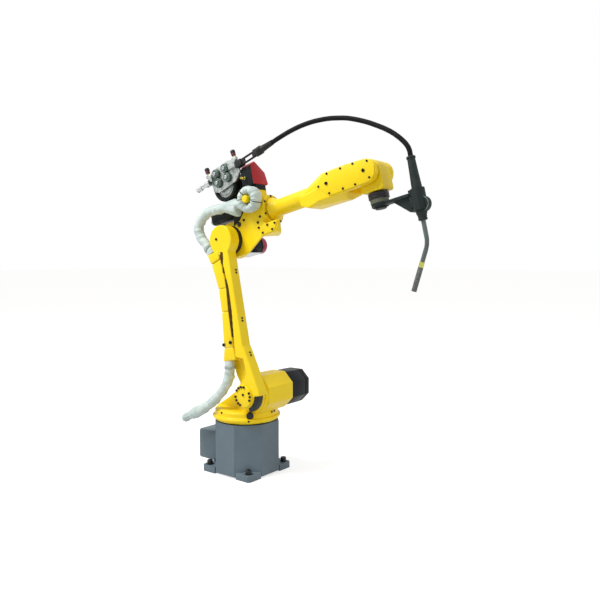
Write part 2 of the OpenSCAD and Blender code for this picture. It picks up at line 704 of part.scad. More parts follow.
neck_straight = 70;
neck_bend_r = 110;
neck_bend = 30;
neck_tail = 53;
neck_lap = 4;
neck_step = 0.5;
band_len = 24;
nozzle_len = 108;
module in_neck_end() in_wrist() translate([torch_reach, 0, body_low - neck_straight])
  translate([-neck_bend_r, 0, 0]) rotate([0, neck_bend, 0]) translate([neck_bend_r, 0, 0]) children();
module torch_neck() color(torch_dark) {
  in_wrist() translate([torch_reach, 0, body_low - neck_straight]) {
    translate([0, 0, -neck_lap]) cylinder(d = neck_d, h = neck_straight + neck_lap);
    translate([-neck_bend_r, 0, 0]) rotate([-90, 0, 0]) rotate_extrude(angle = neck_bend)
      translate([neck_bend_r, 0]) circle(r = neck_d / 2 - neck_step);
  }
  in_neck_end() translate([0, 0, -neck_tail]) cylinder(d = neck_d, h = neck_tail + neck_lap);
}
module neck_band() color(brass) in_neck_end() translate([0, 0, -neck_tail - band_len])
  cylinder(d = neck_d + 2, h = band_len);
module gas_nozzle() color(torch_dark) in_neck_end()
  translate([0, 0, -neck_tail - band_len - nozzle_len]) difference() {
    cylinder(d = neck_d + 3, h = nozzle_len);
    translate([0, 0, -1]) cylinder(d = neck_d - 4, h = 26);
  }

pedestal();
connector_box();
connector_panel();
turret_casting();
j2_motor();
lower_arm_casting();
j2_hub_cap();
arm_end_plug();
cable_guide();
hose_clamps();
lower_hose();
upper_hose();
j3_casting();
j3_side_cover();
j3_motor();
j3_motor_cap();
j4_motor();
wrist_motors();
hose_wrap();
wrap_post();
feeder_base();
feeder_gear_housing();
feeder_motor();
feeder_cover();
drive_plate();
drive_rolls();
pressure_arms();
pressure_knobs();
wire_inlet();
wire_outlet();
cable_connector();
torch_cable_rear();
forearm_casting();
side_covers();
torch_cable_middle();
wrist_block();
torch_cable_front();
tool_flange();
torch_adaptor();
torch_bracket();
torch_clamp();
torch_handle();
torch_neck();
neck_band();
gas_nozzle();
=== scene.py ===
"""Looks of a six-axis arc-welding robot arm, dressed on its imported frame. Metres, +Z up."""
import json
import math

import bmesh
import bpy
import numpy as np
from mathutils import Matrix, Vector


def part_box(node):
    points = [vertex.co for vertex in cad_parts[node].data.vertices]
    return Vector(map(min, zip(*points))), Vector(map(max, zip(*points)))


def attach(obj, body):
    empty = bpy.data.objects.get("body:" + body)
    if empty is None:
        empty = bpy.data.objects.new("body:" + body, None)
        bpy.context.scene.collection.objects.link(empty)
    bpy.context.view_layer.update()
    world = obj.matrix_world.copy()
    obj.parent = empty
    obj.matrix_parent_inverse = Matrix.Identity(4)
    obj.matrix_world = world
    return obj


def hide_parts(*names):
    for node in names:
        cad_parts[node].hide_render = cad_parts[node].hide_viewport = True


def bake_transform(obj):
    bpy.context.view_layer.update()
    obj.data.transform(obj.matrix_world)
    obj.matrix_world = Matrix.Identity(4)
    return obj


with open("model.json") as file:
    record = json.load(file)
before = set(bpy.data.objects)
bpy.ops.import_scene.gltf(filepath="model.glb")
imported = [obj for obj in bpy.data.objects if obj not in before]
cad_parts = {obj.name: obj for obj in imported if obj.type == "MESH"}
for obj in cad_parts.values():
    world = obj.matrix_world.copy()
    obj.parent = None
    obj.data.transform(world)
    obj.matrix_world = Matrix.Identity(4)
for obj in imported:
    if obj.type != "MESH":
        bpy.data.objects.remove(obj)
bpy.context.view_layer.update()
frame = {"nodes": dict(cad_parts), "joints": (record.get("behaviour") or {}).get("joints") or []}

# Studio. A pale floor runs out of sight under even daylight. One broad lamp stands on the left of
# the camera and a weaker one on the right. The camera stands at the photograph's own viewpoint.


def wired(tree, kind, *sources, **inputs):
    """A node added to a tree. Its inputs, in order or by name, are set to a value or linked to a socket."""
    node = tree.nodes.new(kind)
    named = {label.replace("_", " "): source for label, source in inputs.items()}
    for key, source in [*enumerate(sources), *named.items()]:
        if isinstance(source, bpy.types.NodeSocket):
            tree.links.new(source, node.inputs[key])
        else:
            node.inputs[key].default_value = source
    return node


def combined(tree, operation, first, second):
    """Two numbers put together by a Math node."""
    node = wired(tree, "ShaderNodeMath", first, second)
    node.operation = operation
    return node.outputs[0]


def seen_directly(tree):
    """One for rays that look at the backdrop straight, in a mirror or through glass, and zero for others."""
    rays = tree.nodes.new("ShaderNodeLightPath").outputs
    straight_or_mirrored = combined(tree, "MAXIMUM", rays["Is Camera Ray"], rays["Is Glossy Ray"])
    return combined(tree, "MAXIMUM", straight_or_mirrored, rays["Is Transmission Ray"])


def build_daylight(ambient):
    """Even light from all round, with plain white behind the object."""
    world = bpy.data.worlds.new("daylight")
    bpy.context.scene.world = world
    world.use_nodes = True
    tree = world.node_tree
    tree.nodes.clear()
    light = wired(tree, "ShaderNodeBackground", Color=(1.0, 0.99, 0.97, 1.0), Strength=ambient)
    white = wired(tree, "ShaderNodeBackground", Color=(1.0, 1.0, 1.0, 1.0), Strength=1.0)
    mix = wired(tree, "ShaderNodeMixShader", seen_directly(tree), light.outputs[0], white.outputs[0])
    wired(tree, "ShaderNodeOutputWorld", Surface=mix.outputs[0])


def build_floor(half_size, albedo, glow):
    """A flat floor that takes the object's shadow, lifted towards white for rays that look at it straight."""
    mesh = bpy.data.meshes.new("floor")
    h = half_size
    mesh.from_pydata([(-h, -h, 0), (h, -h, 0), (h, h, 0), (-h, h, 0)], [], [(0, 1, 2, 3)])
    floor = bpy.data.objects.new("floor", mesh)
    bpy.context.scene.collection.objects.link(floor)
    pale = bpy.data.materials.new("pale_floor")
    pale.use_nodes = True
    tree = pale.node_tree
    tree.nodes.clear()
    matt = wired(tree, "ShaderNodeBsdfDiffuse", Color=(albedo, albedo, albedo, 1.0))
    lift = wired(tree, "ShaderNodeEmission", Strength=combined(tree, "MULTIPLY", seen_directly(tree), glow))
    both = wired(tree, "ShaderNodeAddShader", matt.outputs[0], lift.outputs[0])
    wired(tree, "ShaderNodeOutputMaterial", Surface=both.outputs[0])
    mesh.materials.append(pale)


def hang_lamp(name, place, target, size, power):
    """A round area lamp at a place, turned to a target."""
    lamp = bpy.data.lights.new(name, "AREA")
    lamp.shape = "DISK"
    lamp.size = size
    lamp.energy = power
    holder = bpy.data.objects.new(name, lamp)
    holder.location = place
    holder.rotation_euler = (Vector(target) - Vector(place)).to_track_quat("-Z", "Y").to_euler()
    bpy.context.scene.collection.objects.link(holder)


build_daylight(ambient=0.54)
build_floor(half_size=60.0, albedo=0.65, glow=0.635)
arm_middle = (0.2, 0.0, 0.9)
hang_lamp("left_lamp", (-1.7, -3.1, 5.2), arm_middle, size=2.6, power=275.0)
hang_lamp("right_lamp", (4.6, 0.6, 2.6), arm_middle, size=2.4, power=30.0)

photo_camera = bpy.data.cameras.new("photo_camera")
photo_camera.lens = 39.11
photo_camera.sensor_width = 36.0
camera = bpy.data.objects.new("photo_camera", photo_camera)
camera.location = (2.3044, -2.49995, 1.1098)
level, look_down, turn_left = 90.0, 3.646, 37.93
camera.rotation_euler = (math.radians(level - look_down), 0.0, math.radians(turn_left))
bpy.context.scene.collection.objects.link(camera)
bpy.context.scene.camera = camera
bpy.context.scene.view_settings.view_transform = "Standard"

# Hose sleeves. Coated cloth tubes over the machine's own hoses and leads: one hangs from the foot of
# the guide on the lower arm and ends in a sewn cuff, the other loops up and over to the elbow.

joint_at = {j["name"]: Vector(j["pos_m"]) for j in frame["joints"]}
joint_axis = {j["name"]: Vector(j["axis"]) for j in frame["joints"]}
shoulder, elbow = joint_at["j2_shoulder"], joint_at["j3_elbow"]
lean = math.atan2(shoulder.x - elbow.x, elbow.z - shoulder.z)
pitch = math.atan2(joint_axis["j4_roll"].z, joint_axis["j4_roll"].x)
in_lower_arm = Matrix.Translation(shoulder) @ Matrix.Rotation(-lean, 4, "Y")
in_upper_arm = Matrix.Translation(elbow) @ Matrix.Rotation(-pitch, 4, "Y")


def colour(red, green, blue):
    """A display colour from 0 to 255 as the linear colour that a shader takes."""
    shares = (red / 255, green / 255, blue / 255)
    linear = [c / 12.92 if c <= 0.04 else ((c + 0.055) / 1.055) ** 2.4 for c in shares]
    return (*linear, 1.0)


def new_finish(name, roughness, metallic=0.0, gloss=0.5):
    """A material with its node tree and its surface shader."""
    finish = bpy.data.materials.new(name)
    finish.use_nodes = True
    tree = finish.node_tree
    surface = tree.nodes["Principled BSDF"]
    surface.inputs["Roughness"].default_value = roughness
    surface.inputs["Metallic"].default_value = metallic
    surface.inputs["Specular IOR Level"].default_value = gloss
    return finish, tree, surface


def mottle(tree, scale, detail=3.0):
    """Cloudy noise over the piece, from zero to one."""
    where = tree.nodes.new("ShaderNodeTexCoord").outputs["Object"]
    return wired(tree, "ShaderNodeTexNoise", Vector=where, Scale=scale, Detail=detail).outputs["Fac"]


def between(tree, share, first, second):
    """A colour that runs from the first to the second over the middle of the share's range."""
    ramp = wired(tree, "ShaderNodeValToRGB", share)
    start, end = ramp.color_ramp.elements
    start.position, start.color = 0.35, first
    end.position, end.color = 0.65, second
    return ramp.outputs["Color"]


def two_tone(name, first, second, roughness, scale, detail=3.0, metallic=0.0, gloss=0.5):
    """A material whose colour drifts in clouds from the first to the second, with its tree and its shader."""
    finish, tree, surface = new_finish(name, roughness, metallic, gloss)
    drift = between(tree, mottle(tree, scale, detail), first, second)
    tree.links.new(drift, surface.inputs["Base Color"])
    return finish, tree, surface


def raised(tree, surface, height, strength, distance):
    """Bump from a height, laid over the bump that the surface already has."""
    bump = wired(tree, "ShaderNodeBump", Height=height, Strength=strength, Distance=distance)
    before = surface.inputs["Normal"].links
    if before:
        tree.links.new(before[0].from_socket, bump.inputs["Normal"])
    tree.links.new(bump.outputs["Normal"], surface.inputs["Normal"])


def weave(tree, threads):
    """Plain weave on the piece's own map: two sets of waves crossed, from zero to one."""
    where = tree.nodes.new("ShaderNodeTexCoord").outputs["UV"]
    waves = []
    for direction in ("X", "Y"):
        wave = wired(tree, "ShaderNodeTexWave", Vector=where, Scale=threads)
        wave.bands_direction = direction
        waves.append(wave.outputs["Fac"])
    return combined(tree, "MULTIPLY", *waves)


sleeve_cloth, tree, surface = two_tone(
    "sleeve_cloth", colour(178, 196, 191), colour(211, 223, 219), roughness=0.62, scale=16.0, detail=4.0)
surface.inputs["Sheen Weight"].default_value = 0.25
surface.inputs["Sheen Roughness"].default_value = 0.4
raised(tree, surface, weave(tree, 2.4), strength=0.25, distance=0.0006)
raised(tree, surface, mottle(tree, 55.0, 3.0), strength=0.22, distance=0.002)


def lengths_along(points):
    """The length of a line up to each of its points."""
    return np.concatenate([[0.0], np.cumsum(np.linalg.norm(np.diff(points, axis=0), axis=1))])


def smooth_route(points, step):
    """Points a step apart on one smooth curve through the given points, and the curve's length."""
    p = np.array(points, float)
    t = lengths_along(p)
    slope = np.empty_like(p)
    slope[1:-1] = (p[2:] - p[:-2]) / (t[2:] - t[:-2])[:, None]
    slope[0] = (p[1] - p[0]) / (t[1] - t[0])
    slope[-1] = (p[-1] - p[-2]) / (t[-1] - t[-2])
    dense = []
    for i in range(len(p) - 1):
        span = t[i + 1] - t[i]
        s = np.linspace(0.0, 1.0, 30, endpoint=i == len(p) - 2)[:, None]
        dense.append(
            (2 * s**3 - 3 * s**2 + 1) * p[i] + (s**3 - 2 * s**2 + s) * span * slope[i]
            + (3 * s**2 - 2 * s**3) * p[i + 1] + (s**3 - s**2) * span * slope[i + 1]
        )
    line = np.concatenate(dense)
    along = lengths_along(line)
    even = np.linspace(0.0, along[-1], math.ceil(along[-1] / step) + 1)
    return np.stack([np.interp(even, along, line[:, k]) for k in range(3)], axis=1), along[-1]


def link_piece(name, mesh, finish):
    """A mesh as an object of the scene, in one finish."""
    piece = bpy.data.objects.new(name, mesh)
    bpy.context.scene.collection.objects.link(piece)
    mesh.materials.clear()
    mesh.materials.append(finish)
    return piece


def tube_piece(name, line, half_width, sides, finish):
    """A closed tube round a line. half_width gives its radii at a length along it, for a set of angles."""
    along = lengths_along(line)
    ahead = np.gradient(line, axis=0)
    ahead /= np.linalg.norm(ahead, axis=1)[:, None]
    angles = np.linspace(0.0, 2 * math.pi, sides, endpoint=False)
    side = np.cross(ahead[0], (0.0, 1.0, 0.0))
    rings = []
    for centre, forward, s in zip(line, ahead, along):
        side = side - (side @ forward) * forward
        side /= np.linalg.norm(side)
        up = np.cross(forward, side)
        r = half_width(s, angles)
        rings.append(centre + (r * np.cos(angles))[:, None] * side + (r * np.sin(angles))[:, None] * up)
    faces, places = [], []
    cell = 0.01
    girth = 2 * math.pi * float(np.mean(half_width(along[-1] / 2, angles)))
    for i in range(len(line) - 1):
        for k in range(sides):
            n = (k + 1) % sides
            faces.append((i * sides + k, i * sides + n, (i + 1) * sides + n, (i + 1) * sides + k))
            left, right = k / sides * girth / cell, (k + 1) / sides * girth / cell
            low, high = along[i] / cell, along[i + 1] / cell
            places += [(left, low), (right, low), (right, high), (left, high)]
    faces.append(tuple(reversed(range(sides))))
    faces.append(tuple((len(line) - 1) * sides + k for k in range(sides)))
    places += [(math.cos(a), math.sin(a)) for a in angles] * 2
    mesh = bpy.data.meshes.new(name)
    mesh.from_pydata(np.concatenate(rings).tolist(), [], faces)
    mesh.uv_layers.new(name="cloth_map").data.foreach_set("uv", np.array(places, np.float32).ravel())
    mesh.shade_smooth()
    mesh.set_sharp_from_angle(angle=math.radians(50.0))
    return link_piece(name, mesh, finish)


def cloth_folds(length, count, seed):
    """Slack in a cloth tube: ridges across it, each on one side, leaning a little."""
    draw = np.random.default_rng(seed)
    at = draw.uniform(0.0, length, count)
    facing = draw.uniform(0.0, 2 * math.pi, count)
    wide = draw.uniform(0.005, 0.014, count)
    deep = draw.uniform(0.0009, 0.0030, count)
    slant = draw.uniform(-0.022, 0.022, count)

    def folds(s, angles):
        turn = angles[:, None] - facing
        offset = s - at - slant * np.sin(turn)
        return (deep * np.exp(-((offset / wide) ** 2)) * (0.25 + 0.75 * np.cos(turn / 2) ** 2)).sum(axis=1)

    return folds


def bell(s, at, reach, height):
    """A swelling of a height at a place along the tube, fading over a reach to both sides."""
    return height * math.exp(-(((s - at) / reach) ** 2))


def gathered(s, angles, at, reach, pleats, depth):
    """Pleats round the tube where a tie draws it in, fading with the distance from the tie."""
    return bell(s, at, reach, depth) * np.cos(pleats * angles)


def from_frame(matrix, points):
    """Points in millimetres of a piece's own frame, as places in metres."""
    return [matrix @ (Vector(p) * 0.001) for p in points]


route_step = 0.004
sleeve_r, sleeve_sides = 0.0245, 44
guide_middle_y = -139
lower_route = from_frame(in_lower_arm, [
    (-84, -145, 183), (-84, -145, 150), (-97, -144, 117), (-115, -144, 84), (-145, -147, 50),
    (-182, -150, 20), (-226, -154, -7), (-274, -158, -30), (-324, -161, -47), (-374, -164, -61),
    (-420, -166, -73), (-456, -168, -82),
])
lower_line, lower_length = smooth_route(lower_route, route_step)
lower_folds = cloth_folds(lower_length, 46, seed=11)
cuff_at = lower_length - 0.048


def lower_sleeve_width(s, angles):
    """Radii of the hanging sleeve: slack cloth that swells, is tied at its cuff and ends in a hem."""
    full = bell(s, at=cuff_at - 0.058, reach=0.050, height=0.0070)
    neck = bell(s, at=cuff_at, reach=0.016, height=0.0062)
    hem = 0.0030 * max(0.0, 1 - (lower_length - s) / 0.006) ** 2
    loose = 1 - 0.6 * min(1.0, max(0.0, (s - cuff_at + 0.10) / 0.06))
    folds = gathered(s, angles, at=cuff_at, reach=0.03, pleats=9, depth=0.0018)
    slack = lower_folds(s, angles) * loose + folds
    return sleeve_r - 0.0014 + full - neck - hem + slack


lower_sleeve = tube_piece("lower_sleeve", lower_line, lower_sleeve_width, sleeve_sides, sleeve_cloth)
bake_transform(lower_sleeve)
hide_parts("lower_hose")

upper_route = from_frame(in_lower_arm, [
    (-88, guide_middle_y, 731), (-105, guide_middle_y, 759), (-128, -140, 794), (-151, -140, 828),
    (-162, -140, 865), (-153, -139, 902), (-128, -138, 929), (-94, -136, 944), (-54, -134, 950),
    (-10, -132, 948), (36, -130, 945), (80, -126, 943), (116, -118, 942), (146, -113, 942),
])
upper_line, upper_length = smooth_route(upper_route, route_step)
upper_folds = cloth_folds(upper_length, 44, seed=5)


def upper_sleeve_width(s, angles):
    """Radii of the upper sleeve: slack cloth that opens a little towards the elbow."""
    opening = max(0.0, 1 - abs(s - upper_length + 0.045) / 0.09) ** 1.5
    folds = gathered(s, angles, at=upper_length, reach=0.08, pleats=7, depth=0.0010)
    slack = upper_folds(s, angles) * (1 - 0.7 * opening) + folds
    return sleeve_r - 0.0010 + 0.0015 * opening + slack


upper_sleeve = tube_piece("upper_sleeve", upper_line, upper_sleeve_width, sleeve_sides, sleeve_cloth)
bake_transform(upper_sleeve)
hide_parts("upper_hose")

# Torch cable. A rubber-sheathed coaxial cable for current, gas and wire. It leaves the feeder's
# outlet, arches over the forearm and drops into the top of the torch. One length, in three stretches.

cable_rubber, tree, surface = two_tone(
    "cable_rubber", colour(15, 16, 18), colour(28, 29, 31), roughness=0.55, scale=40.0, gloss=0.1)
raised(tree, surface, weave(tree, 1.6), strength=0.10, distance=0.0004)
raised(tree, surface, mottle(tree, 260.0, 2.0), strength=0.10, distance=0.0004)

feeder_place = (0.031, 0.0, 0.330)
wire_tilt = math.radians(8.0)
in_feeder = in_upper_arm @ Matrix.Translation(feeder_place) @ Matrix.Rotation(-wire_tilt, 4, "Y")
wire_y = -0.108
relief_end = 0.366
cable_start = in_feeder @ Vector((relief_end, wire_y, 0.0))
cable_route = [cable_start] + from_frame(in_upper_arm, [
    (443, -108, 388), (495, -103, 396), (550, -92, 403), (605, -79, 405), (650, -67, 402),
    (695, -55, 395), (736, -44, 384), (776, -36, 370), (820, -27, 348), (862, -19, 323), (900, -12, 296),
    (936, -7, 268), (970, -3, 236), (998, -1, 202), (1018, 0, 170), (1027, 0, 142), (1027, 0, 113),
])
cable_at_forearm, cable_at_wrist = 7, 13
cable_r, cable_sides = 0.011, 24
cable_line = smooth_route(cable_route, route_step)[0]


def nearest_index(line, point):
    """Which of the line's points is nearest to a point."""
    return int(np.linalg.norm(line - np.array(point), axis=1).argmin())


def cable_width(s, angles):
    """The same radius all along and all round."""
    return np.full(len(angles), cable_r)


cable_cuts = [
    0, nearest_index(cable_line, cable_route[cable_at_forearm]),
    nearest_index(cable_line, cable_route[cable_at_wrist]), len(cable_line) - 1,
]
cable_stretches = [
    ("rear", "upper_arm", "forearm"), ("middle", "forearm", "wrist"), ("front", "wrist", "tool")]
for (stretch, held_by, led_to), first, last in zip(cable_stretches, cable_cuts, cable_cuts[1:]):
    line = cable_line[first:last + 1]
    name = f"torch_cable_{stretch}_sheath"
    sheath = tube_piece(name, line, cable_width, cable_sides, cable_rubber)
    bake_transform(sheath)
    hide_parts(f"torch_cable_{stretch}")
    long = float(lengths_along(line)[-1])

# Pedestal. A welded octagonal column of thick plate on four foot pads, painted blue-grey. Each pad
# is held to the floor by one large socket-head anchor screw on a washer.


def cad_shape(node):
    """A merged copy of a CAD node, its flat faces whole."""
    shape = bmesh.new()
    shape.from_mesh(frame["nodes"][node].data)
    bmesh.ops.remove_doubles(shape, verts=shape.verts, dist=2e-5)
    bmesh.ops.dissolve_limit(
        shape, angle_limit=math.radians(0.4), verts=shape.verts, edges=shape.edges, delimit=set())
    return shape


def settle(piece):
    """Keeps a piece's modified shape as its plain mesh."""
    bpy.context.view_layer.update()
    mesh = bpy.data.meshes.new_from_object(piece.evaluated_get(bpy.context.evaluated_depsgraph_get()))
    piece.modifiers.clear()
    old, piece.data = piece.data, mesh
    bpy.data.meshes.remove(old)
    mesh.name = piece.name


bevel_from, crease_from = math.radians(32.0), math.radians(38.0)


def make_piece(name, shape, finish, edge=0.0, steps=2, turned=True):
    """An object from a finished shape, with its sharp edges broken by a small round."""
    if turned:
        bmesh.ops.recalc_face_normals(shape, faces=shape.faces)
    mesh = bpy.data.meshes.new(name)
    shape.to_mesh(mesh)
    shape.free()
    piece = link_piece(name, mesh, finish)
    if edge:
        broken = piece.modifiers.new("broken_edges", "BEVEL")
        broken.width = edge
        broken.segments = steps
        broken.limit_method = "ANGLE"
        broken.angle_limit = bevel_from
        settle(piece)
    piece.data.shade_smooth()
    piece.data.set_sharp_from_angle(angle=crease_from)
    return piece


def fit(piece, body, node=None):
    """Fixes a piece to its body and hides the CAD node that it stands for, if any."""
    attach(piece, body)
    if node:
        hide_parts(node)


def edged_copy(name, node, finish, body, edge, steps=3):
    """A machined or moulded piece: the CAD node with its sharp edges broken, fitted in that node's place."""
    fit(make_piece(name, cad_shape(node), finish, edge, steps, turned=False), body, node)


def spanned(tree, share, low, high):
    """A number that runs from low to high as the share runs from zero to one."""
    return wired(tree, "ShaderNodeMapRange", Value=share, To_Min=low, To_Max=high).outputs["Result"]


def painted_finish(name, base, shade, worn, roughness, peel, gloss=0.28):
    """Sprayed paint: slow drift of tone, orange-peel gloss, and a lighter worn line on the edges."""
    finish, tree, surface = new_finish(name, roughness, gloss=gloss)
    surface.inputs["Coat Weight"].default_value = gloss / 5
    surface.inputs["Coat Roughness"].default_value = 0.22
    drift = between(tree, mottle(tree, 4.5, 5.0), shade, base)
    edges = tree.nodes.new("ShaderNodeNewGeometry").outputs["Pointiness"]
    on_edge = wired(tree, "ShaderNodeMapRange", Value=edges, From_Min=0.53, From_Max=0.64, To_Max=0.55)
    lit = tree.nodes.new("ShaderNodeMix")
    lit.data_type = "RGBA"
    tree.links.new(on_edge.outputs["Result"], lit.inputs[0])
    tree.links.new(drift, lit.inputs[6])
    lit.inputs[7].default_value = worn
    tree.links.new(lit.outputs[2], surface.inputs["Base Color"])
    uneven = spanned(tree, mottle(tree, 22.0, 4.0), roughness - 0.07, roughness + 0.09)
    tree.links.new(uneven, surface.inputs["Roughness"])
    raised(tree, surface, mottle(tree, 420.0, 2.0), strength=peel, distance=0.0004)
    raised(tree, surface, mottle(tree, 30.0, 2.0), strength=0.05, distance=0.002)
    return finish


pedestal_paint = painted_finish(
    "pedestal_paint", colour(104, 119, 129), colour(92, 107, 117), colour(128, 142, 151),
    roughness=0.5, peel=0.14)
edged_copy("pedestal_skin", "pedestal", pedestal_paint, "base", edge=0.004)


def cap_screw_tree():
    """Socket-head cap screws on marked spots, each turned to its spot's facing and scaled to its size."""
    tree = bpy.data.node_groups.new("cap_screws", "GeometryNodeTree")
    sockets = tree.interface
    sockets.new_socket("Spots", in_out="INPUT", socket_type="NodeSocketGeometry")
    sizes = {"Head Height": 1.15, "Rim Chamfer": 0.16, "Socket Share": 0.56, "Socket Depth": 0.6}
    for label, start in sizes.items():
        sockets.new_socket(label, in_out="INPUT", socket_type="NodeSocketFloat").default_value = start
    sockets.new_socket("Steel", in_out="INPUT", socket_type="NodeSocketMaterial")
    sockets.new_socket("Screws", in_out="OUTPUT", socket_type="NodeSocketGeometry")
    given, made = tree.nodes.new("NodeGroupInput"), tree.nodes.new("NodeGroupOutput")

    def node(kind, **inputs):
        return wired(tree, kind, **inputs)

    half_height = combined(tree, "MULTIPLY", given.outputs["Head Height"], 0.5)
    socket_drop = combined(tree, "MULTIPLY", given.outputs["Socket Depth"], -1.0)
    body = node("GeometryNodeMeshCylinder", Vertices=18, Radius=1.0, Depth=given.outputs["Head Height"])
    lift = node("ShaderNodeCombineXYZ", Z=half_height)
    seated = node("GeometryNodeTransform", Geometry=body.outputs["Mesh"], Translation=lift.outputs[0])
    rim = node("GeometryNodeExtrudeMesh", Mesh=seated.outputs[0], Selection=body.outputs["Top"],
               Offset_Scale=given.outputs["Rim Chamfer"])
    crown = node("GeometryNodeScaleElements", Geometry=rim.outputs["Mesh"], Selection=rim.outputs["Top"],
                 Scale=0.86)
    inner = node("GeometryNodeExtrudeMesh", Mesh=crown.outputs[0], Selection=rim.outputs["Top"],
                 Offset_Scale=0.0)
    mouth = node("GeometryNodeScaleElements", Geometry=inner.outputs["Mesh"], Selection=inner.outputs["Top"],
                 Scale=given.outputs["Socket Share"])
    socket = node("GeometryNodeExtrudeMesh", Mesh=mouth.outputs[0], Selection=inner.outputs["Top"],
                  Offset_Scale=socket_drop)
    facing = node("GeometryNodeInputNamedAttribute", Name="facing")
    facing.data_type = "FLOAT_VECTOR"
    size = node("GeometryNodeInputNamedAttribute", Name="head_size")
    turn = node("FunctionNodeAlignRotationToVector", Vector=facing.outputs["Attribute"])
    turn.axis = "Z"
    heads = node("GeometryNodeInstanceOnPoints", Points=given.outputs["Spots"],
                 Instance=socket.outputs["Mesh"], Rotation=turn.outputs["Rotation"],
                 Scale=size.outputs["Attribute"])
    real = node("GeometryNodeRealizeInstances", Geometry=heads.outputs[0])
    dressed = node("GeometryNodeSetMaterial", Geometry=real.outputs[0], Material=given.outputs["Steel"])
    tree.links.new(dressed.outputs[0], made.inputs["Screws"])
    return tree


black_steel, tree, surface = two_tone(
    "black_steel", colour(24, 24, 26), colour(46, 46, 48), roughness=0.42, scale=220.0, metallic=0.6)
raised(tree, surface, mottle(tree, 900.0, 2.0), strength=0.1, distance=0.0002)
screw_tree = cap_screw_tree()
screw_input = {s.name: s.identifier for s in screw_tree.interface.items_tree if s.in_out == "INPUT"}


def cap_screws(name, body, spots, height=1.15):
    """Screws for one body. Each spot is a place on the surface, the way it faces and the head's radius."""
    places, axes, radii = zip(*spots)
    mesh = bpy.data.meshes.new(name)
    mesh.from_pydata([tuple(p) for p in places], [], [])
    facing = mesh.attributes.new("facing", "FLOAT_VECTOR", "POINT")
    facing.data.foreach_set("vector", [x for axis in axes for x in Vector(axis).normalized()])
    size = mesh.attributes.new("head_size", "FLOAT", "POINT")
    size.data.foreach_set("value", radii)
    piece = bpy.data.objects.new(name, mesh)
    bpy.context.scene.collection.objects.link(piece)
    setting = piece.modifiers.new("cap_screws", "NODES")
    setting.node_group = screw_tree
    setting[screw_input["Head Height"]] = height
    setting[screw_input["Steel"]] = black_steel
    settle(piece)
    piece.data.shade_smooth()
    piece.data.set_sharp_from_angle(angle=math.radians(30.0))
    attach(piece, body)


def add_lathe(shape, profile, matrix, segments=48):
    """A turned body on the matrix's own Z axis, from (radius, height) points, added to the shape."""
    turns = [2 * math.pi * k / segments for k in range(segments)]
    rings = []
    for r, h in profile:
        on_axis = r < 1e-7
        spots = [(0.0, 0.0)] if on_axis else [(r * math.cos(a), r * math.sin(a)) for a in turns]
        rings.append([shape.verts.new(matrix @ Vector((x, y, h))) for x, y in spots])
    for low, high in zip(rings, rings[1:]):
        for k in range(segments):
            n = (k + 1) % segments
            corners = [low[k % len(low)], low[n % len(low)], high[n % len(high)], high[k % len(high)]]
            corners = list(dict.fromkeys(corners))
            if len(corners) > 2:
                shape.faces.new(corners)
    if profile[0] == profile[-1]:
        bmesh.ops.remove_doubles(shape, verts=rings[0] + rings[-1], dist=1e-7)
        return
    for ring in (rings[0], rings[-1]):
        if len(ring) > 1:
            shape.faces.new(ring)


def ring_section(inner, outer, low, high):
    """The closed profile of a flat ring, for add_lathe."""
    return [(inner, low), (outer, low), (outer, high), (inner, high), (inner, low)]


pad_top, washer_t = 0.033, 0.003
anchor_at, anchor_head = 0.137, 0.0145
anchors = [(sx * anchor_at, sy * anchor_at) for sx in (-1, 1) for sy in (-1, 1)]
washer_shape = bmesh.new()
for x, y in anchors:
    add_lathe(washer_shape, ring_section(0.0110, 0.0190, 0.0, washer_t), Matrix.Translation((x, y, pad_top)))
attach(make_piece("anchor_washers", washer_shape, black_steel, edge=0.0005), "base")
upward = (0.0, 0.0, 1.0)
anchor_spots = [((x, y, pad_top + washer_t), upward, anchor_head) for x, y in anchors]
cap_screws("anchor_screws", "base", anchor_spots, height=1.2)

# Connector box behind the pedestal. Folded plate with a bolted panel for the power and signal plugs,
# both in the pedestal's own paint.

edged_copy("connector_box_skin", "connector_box", pedestal_paint, "base", edge=0.004)
edged_copy("connector_panel_skin", "connector_panel", pedestal_paint, "base", edge=0.0015)
panel_t, panel_screw_inset, panel_head = 0.005, 0.008, 0.0042
panel_low, panel_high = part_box("connector_panel")
panel_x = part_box("connector_box")[0].x - panel_t
panel_y = panel_high.y - panel_screw_inset
panel_rows = (
    panel_low.z + panel_screw_inset, (panel_low.z + panel_high.z) / 2, panel_high.z - panel_screw_inset)
backward = (-1.0, 0.0, 0.0)
panel_spots = [((panel_x, sy * panel_y, z), backward, panel_head) for sy in (-1, 1) for z in panel_rows]
cap_screws("panel_screws", "base", panel_spots, height=0.7)

# Turret. One yellow casting: a flange and drum on the first axis, an upper block, and the eight-sided
# housing of the shoulder drive. Sand cast, so its edges and corners run together. A black plug is
# pressed into the drum.

arm_yellow = painted_finish(
    "arm_yellow", colour(251, 220, 20), colour(247, 212, 12), colour(255, 231, 70),
    roughness=0.4, peel=0.08)


def cast_copy(name, node, body, voxel, rounds):
    """A sand-cast piece: the CAD node with its edges and corners run together, fitted in its place."""
    shape = bmesh.new()
    shape.from_mesh(frame["nodes"][node].data)
    bmesh.ops.remove_doubles(shape, verts=shape.verts, dist=2e-5)
    mesh = bpy.data.meshes.new(name)
    shape.to_mesh(mesh)
    shape.free()
    piece = link_piece(name, mesh, arm_yellow)
    skin = piece.modifiers.new("cast_skin", "REMESH")
    skin.mode = "VOXEL"
    skin.voxel_size = voxel
    fair = piece.modifiers.new("run_together", "SMOOTH")
    fair.factor = 0.5
    fair.iterations = rounds
    settle(piece)
    piece.data.materials.clear()
    piece.data.materials.append(arm_yellow)
    piece.data.shade_smooth()
    fit(piece, body, node)


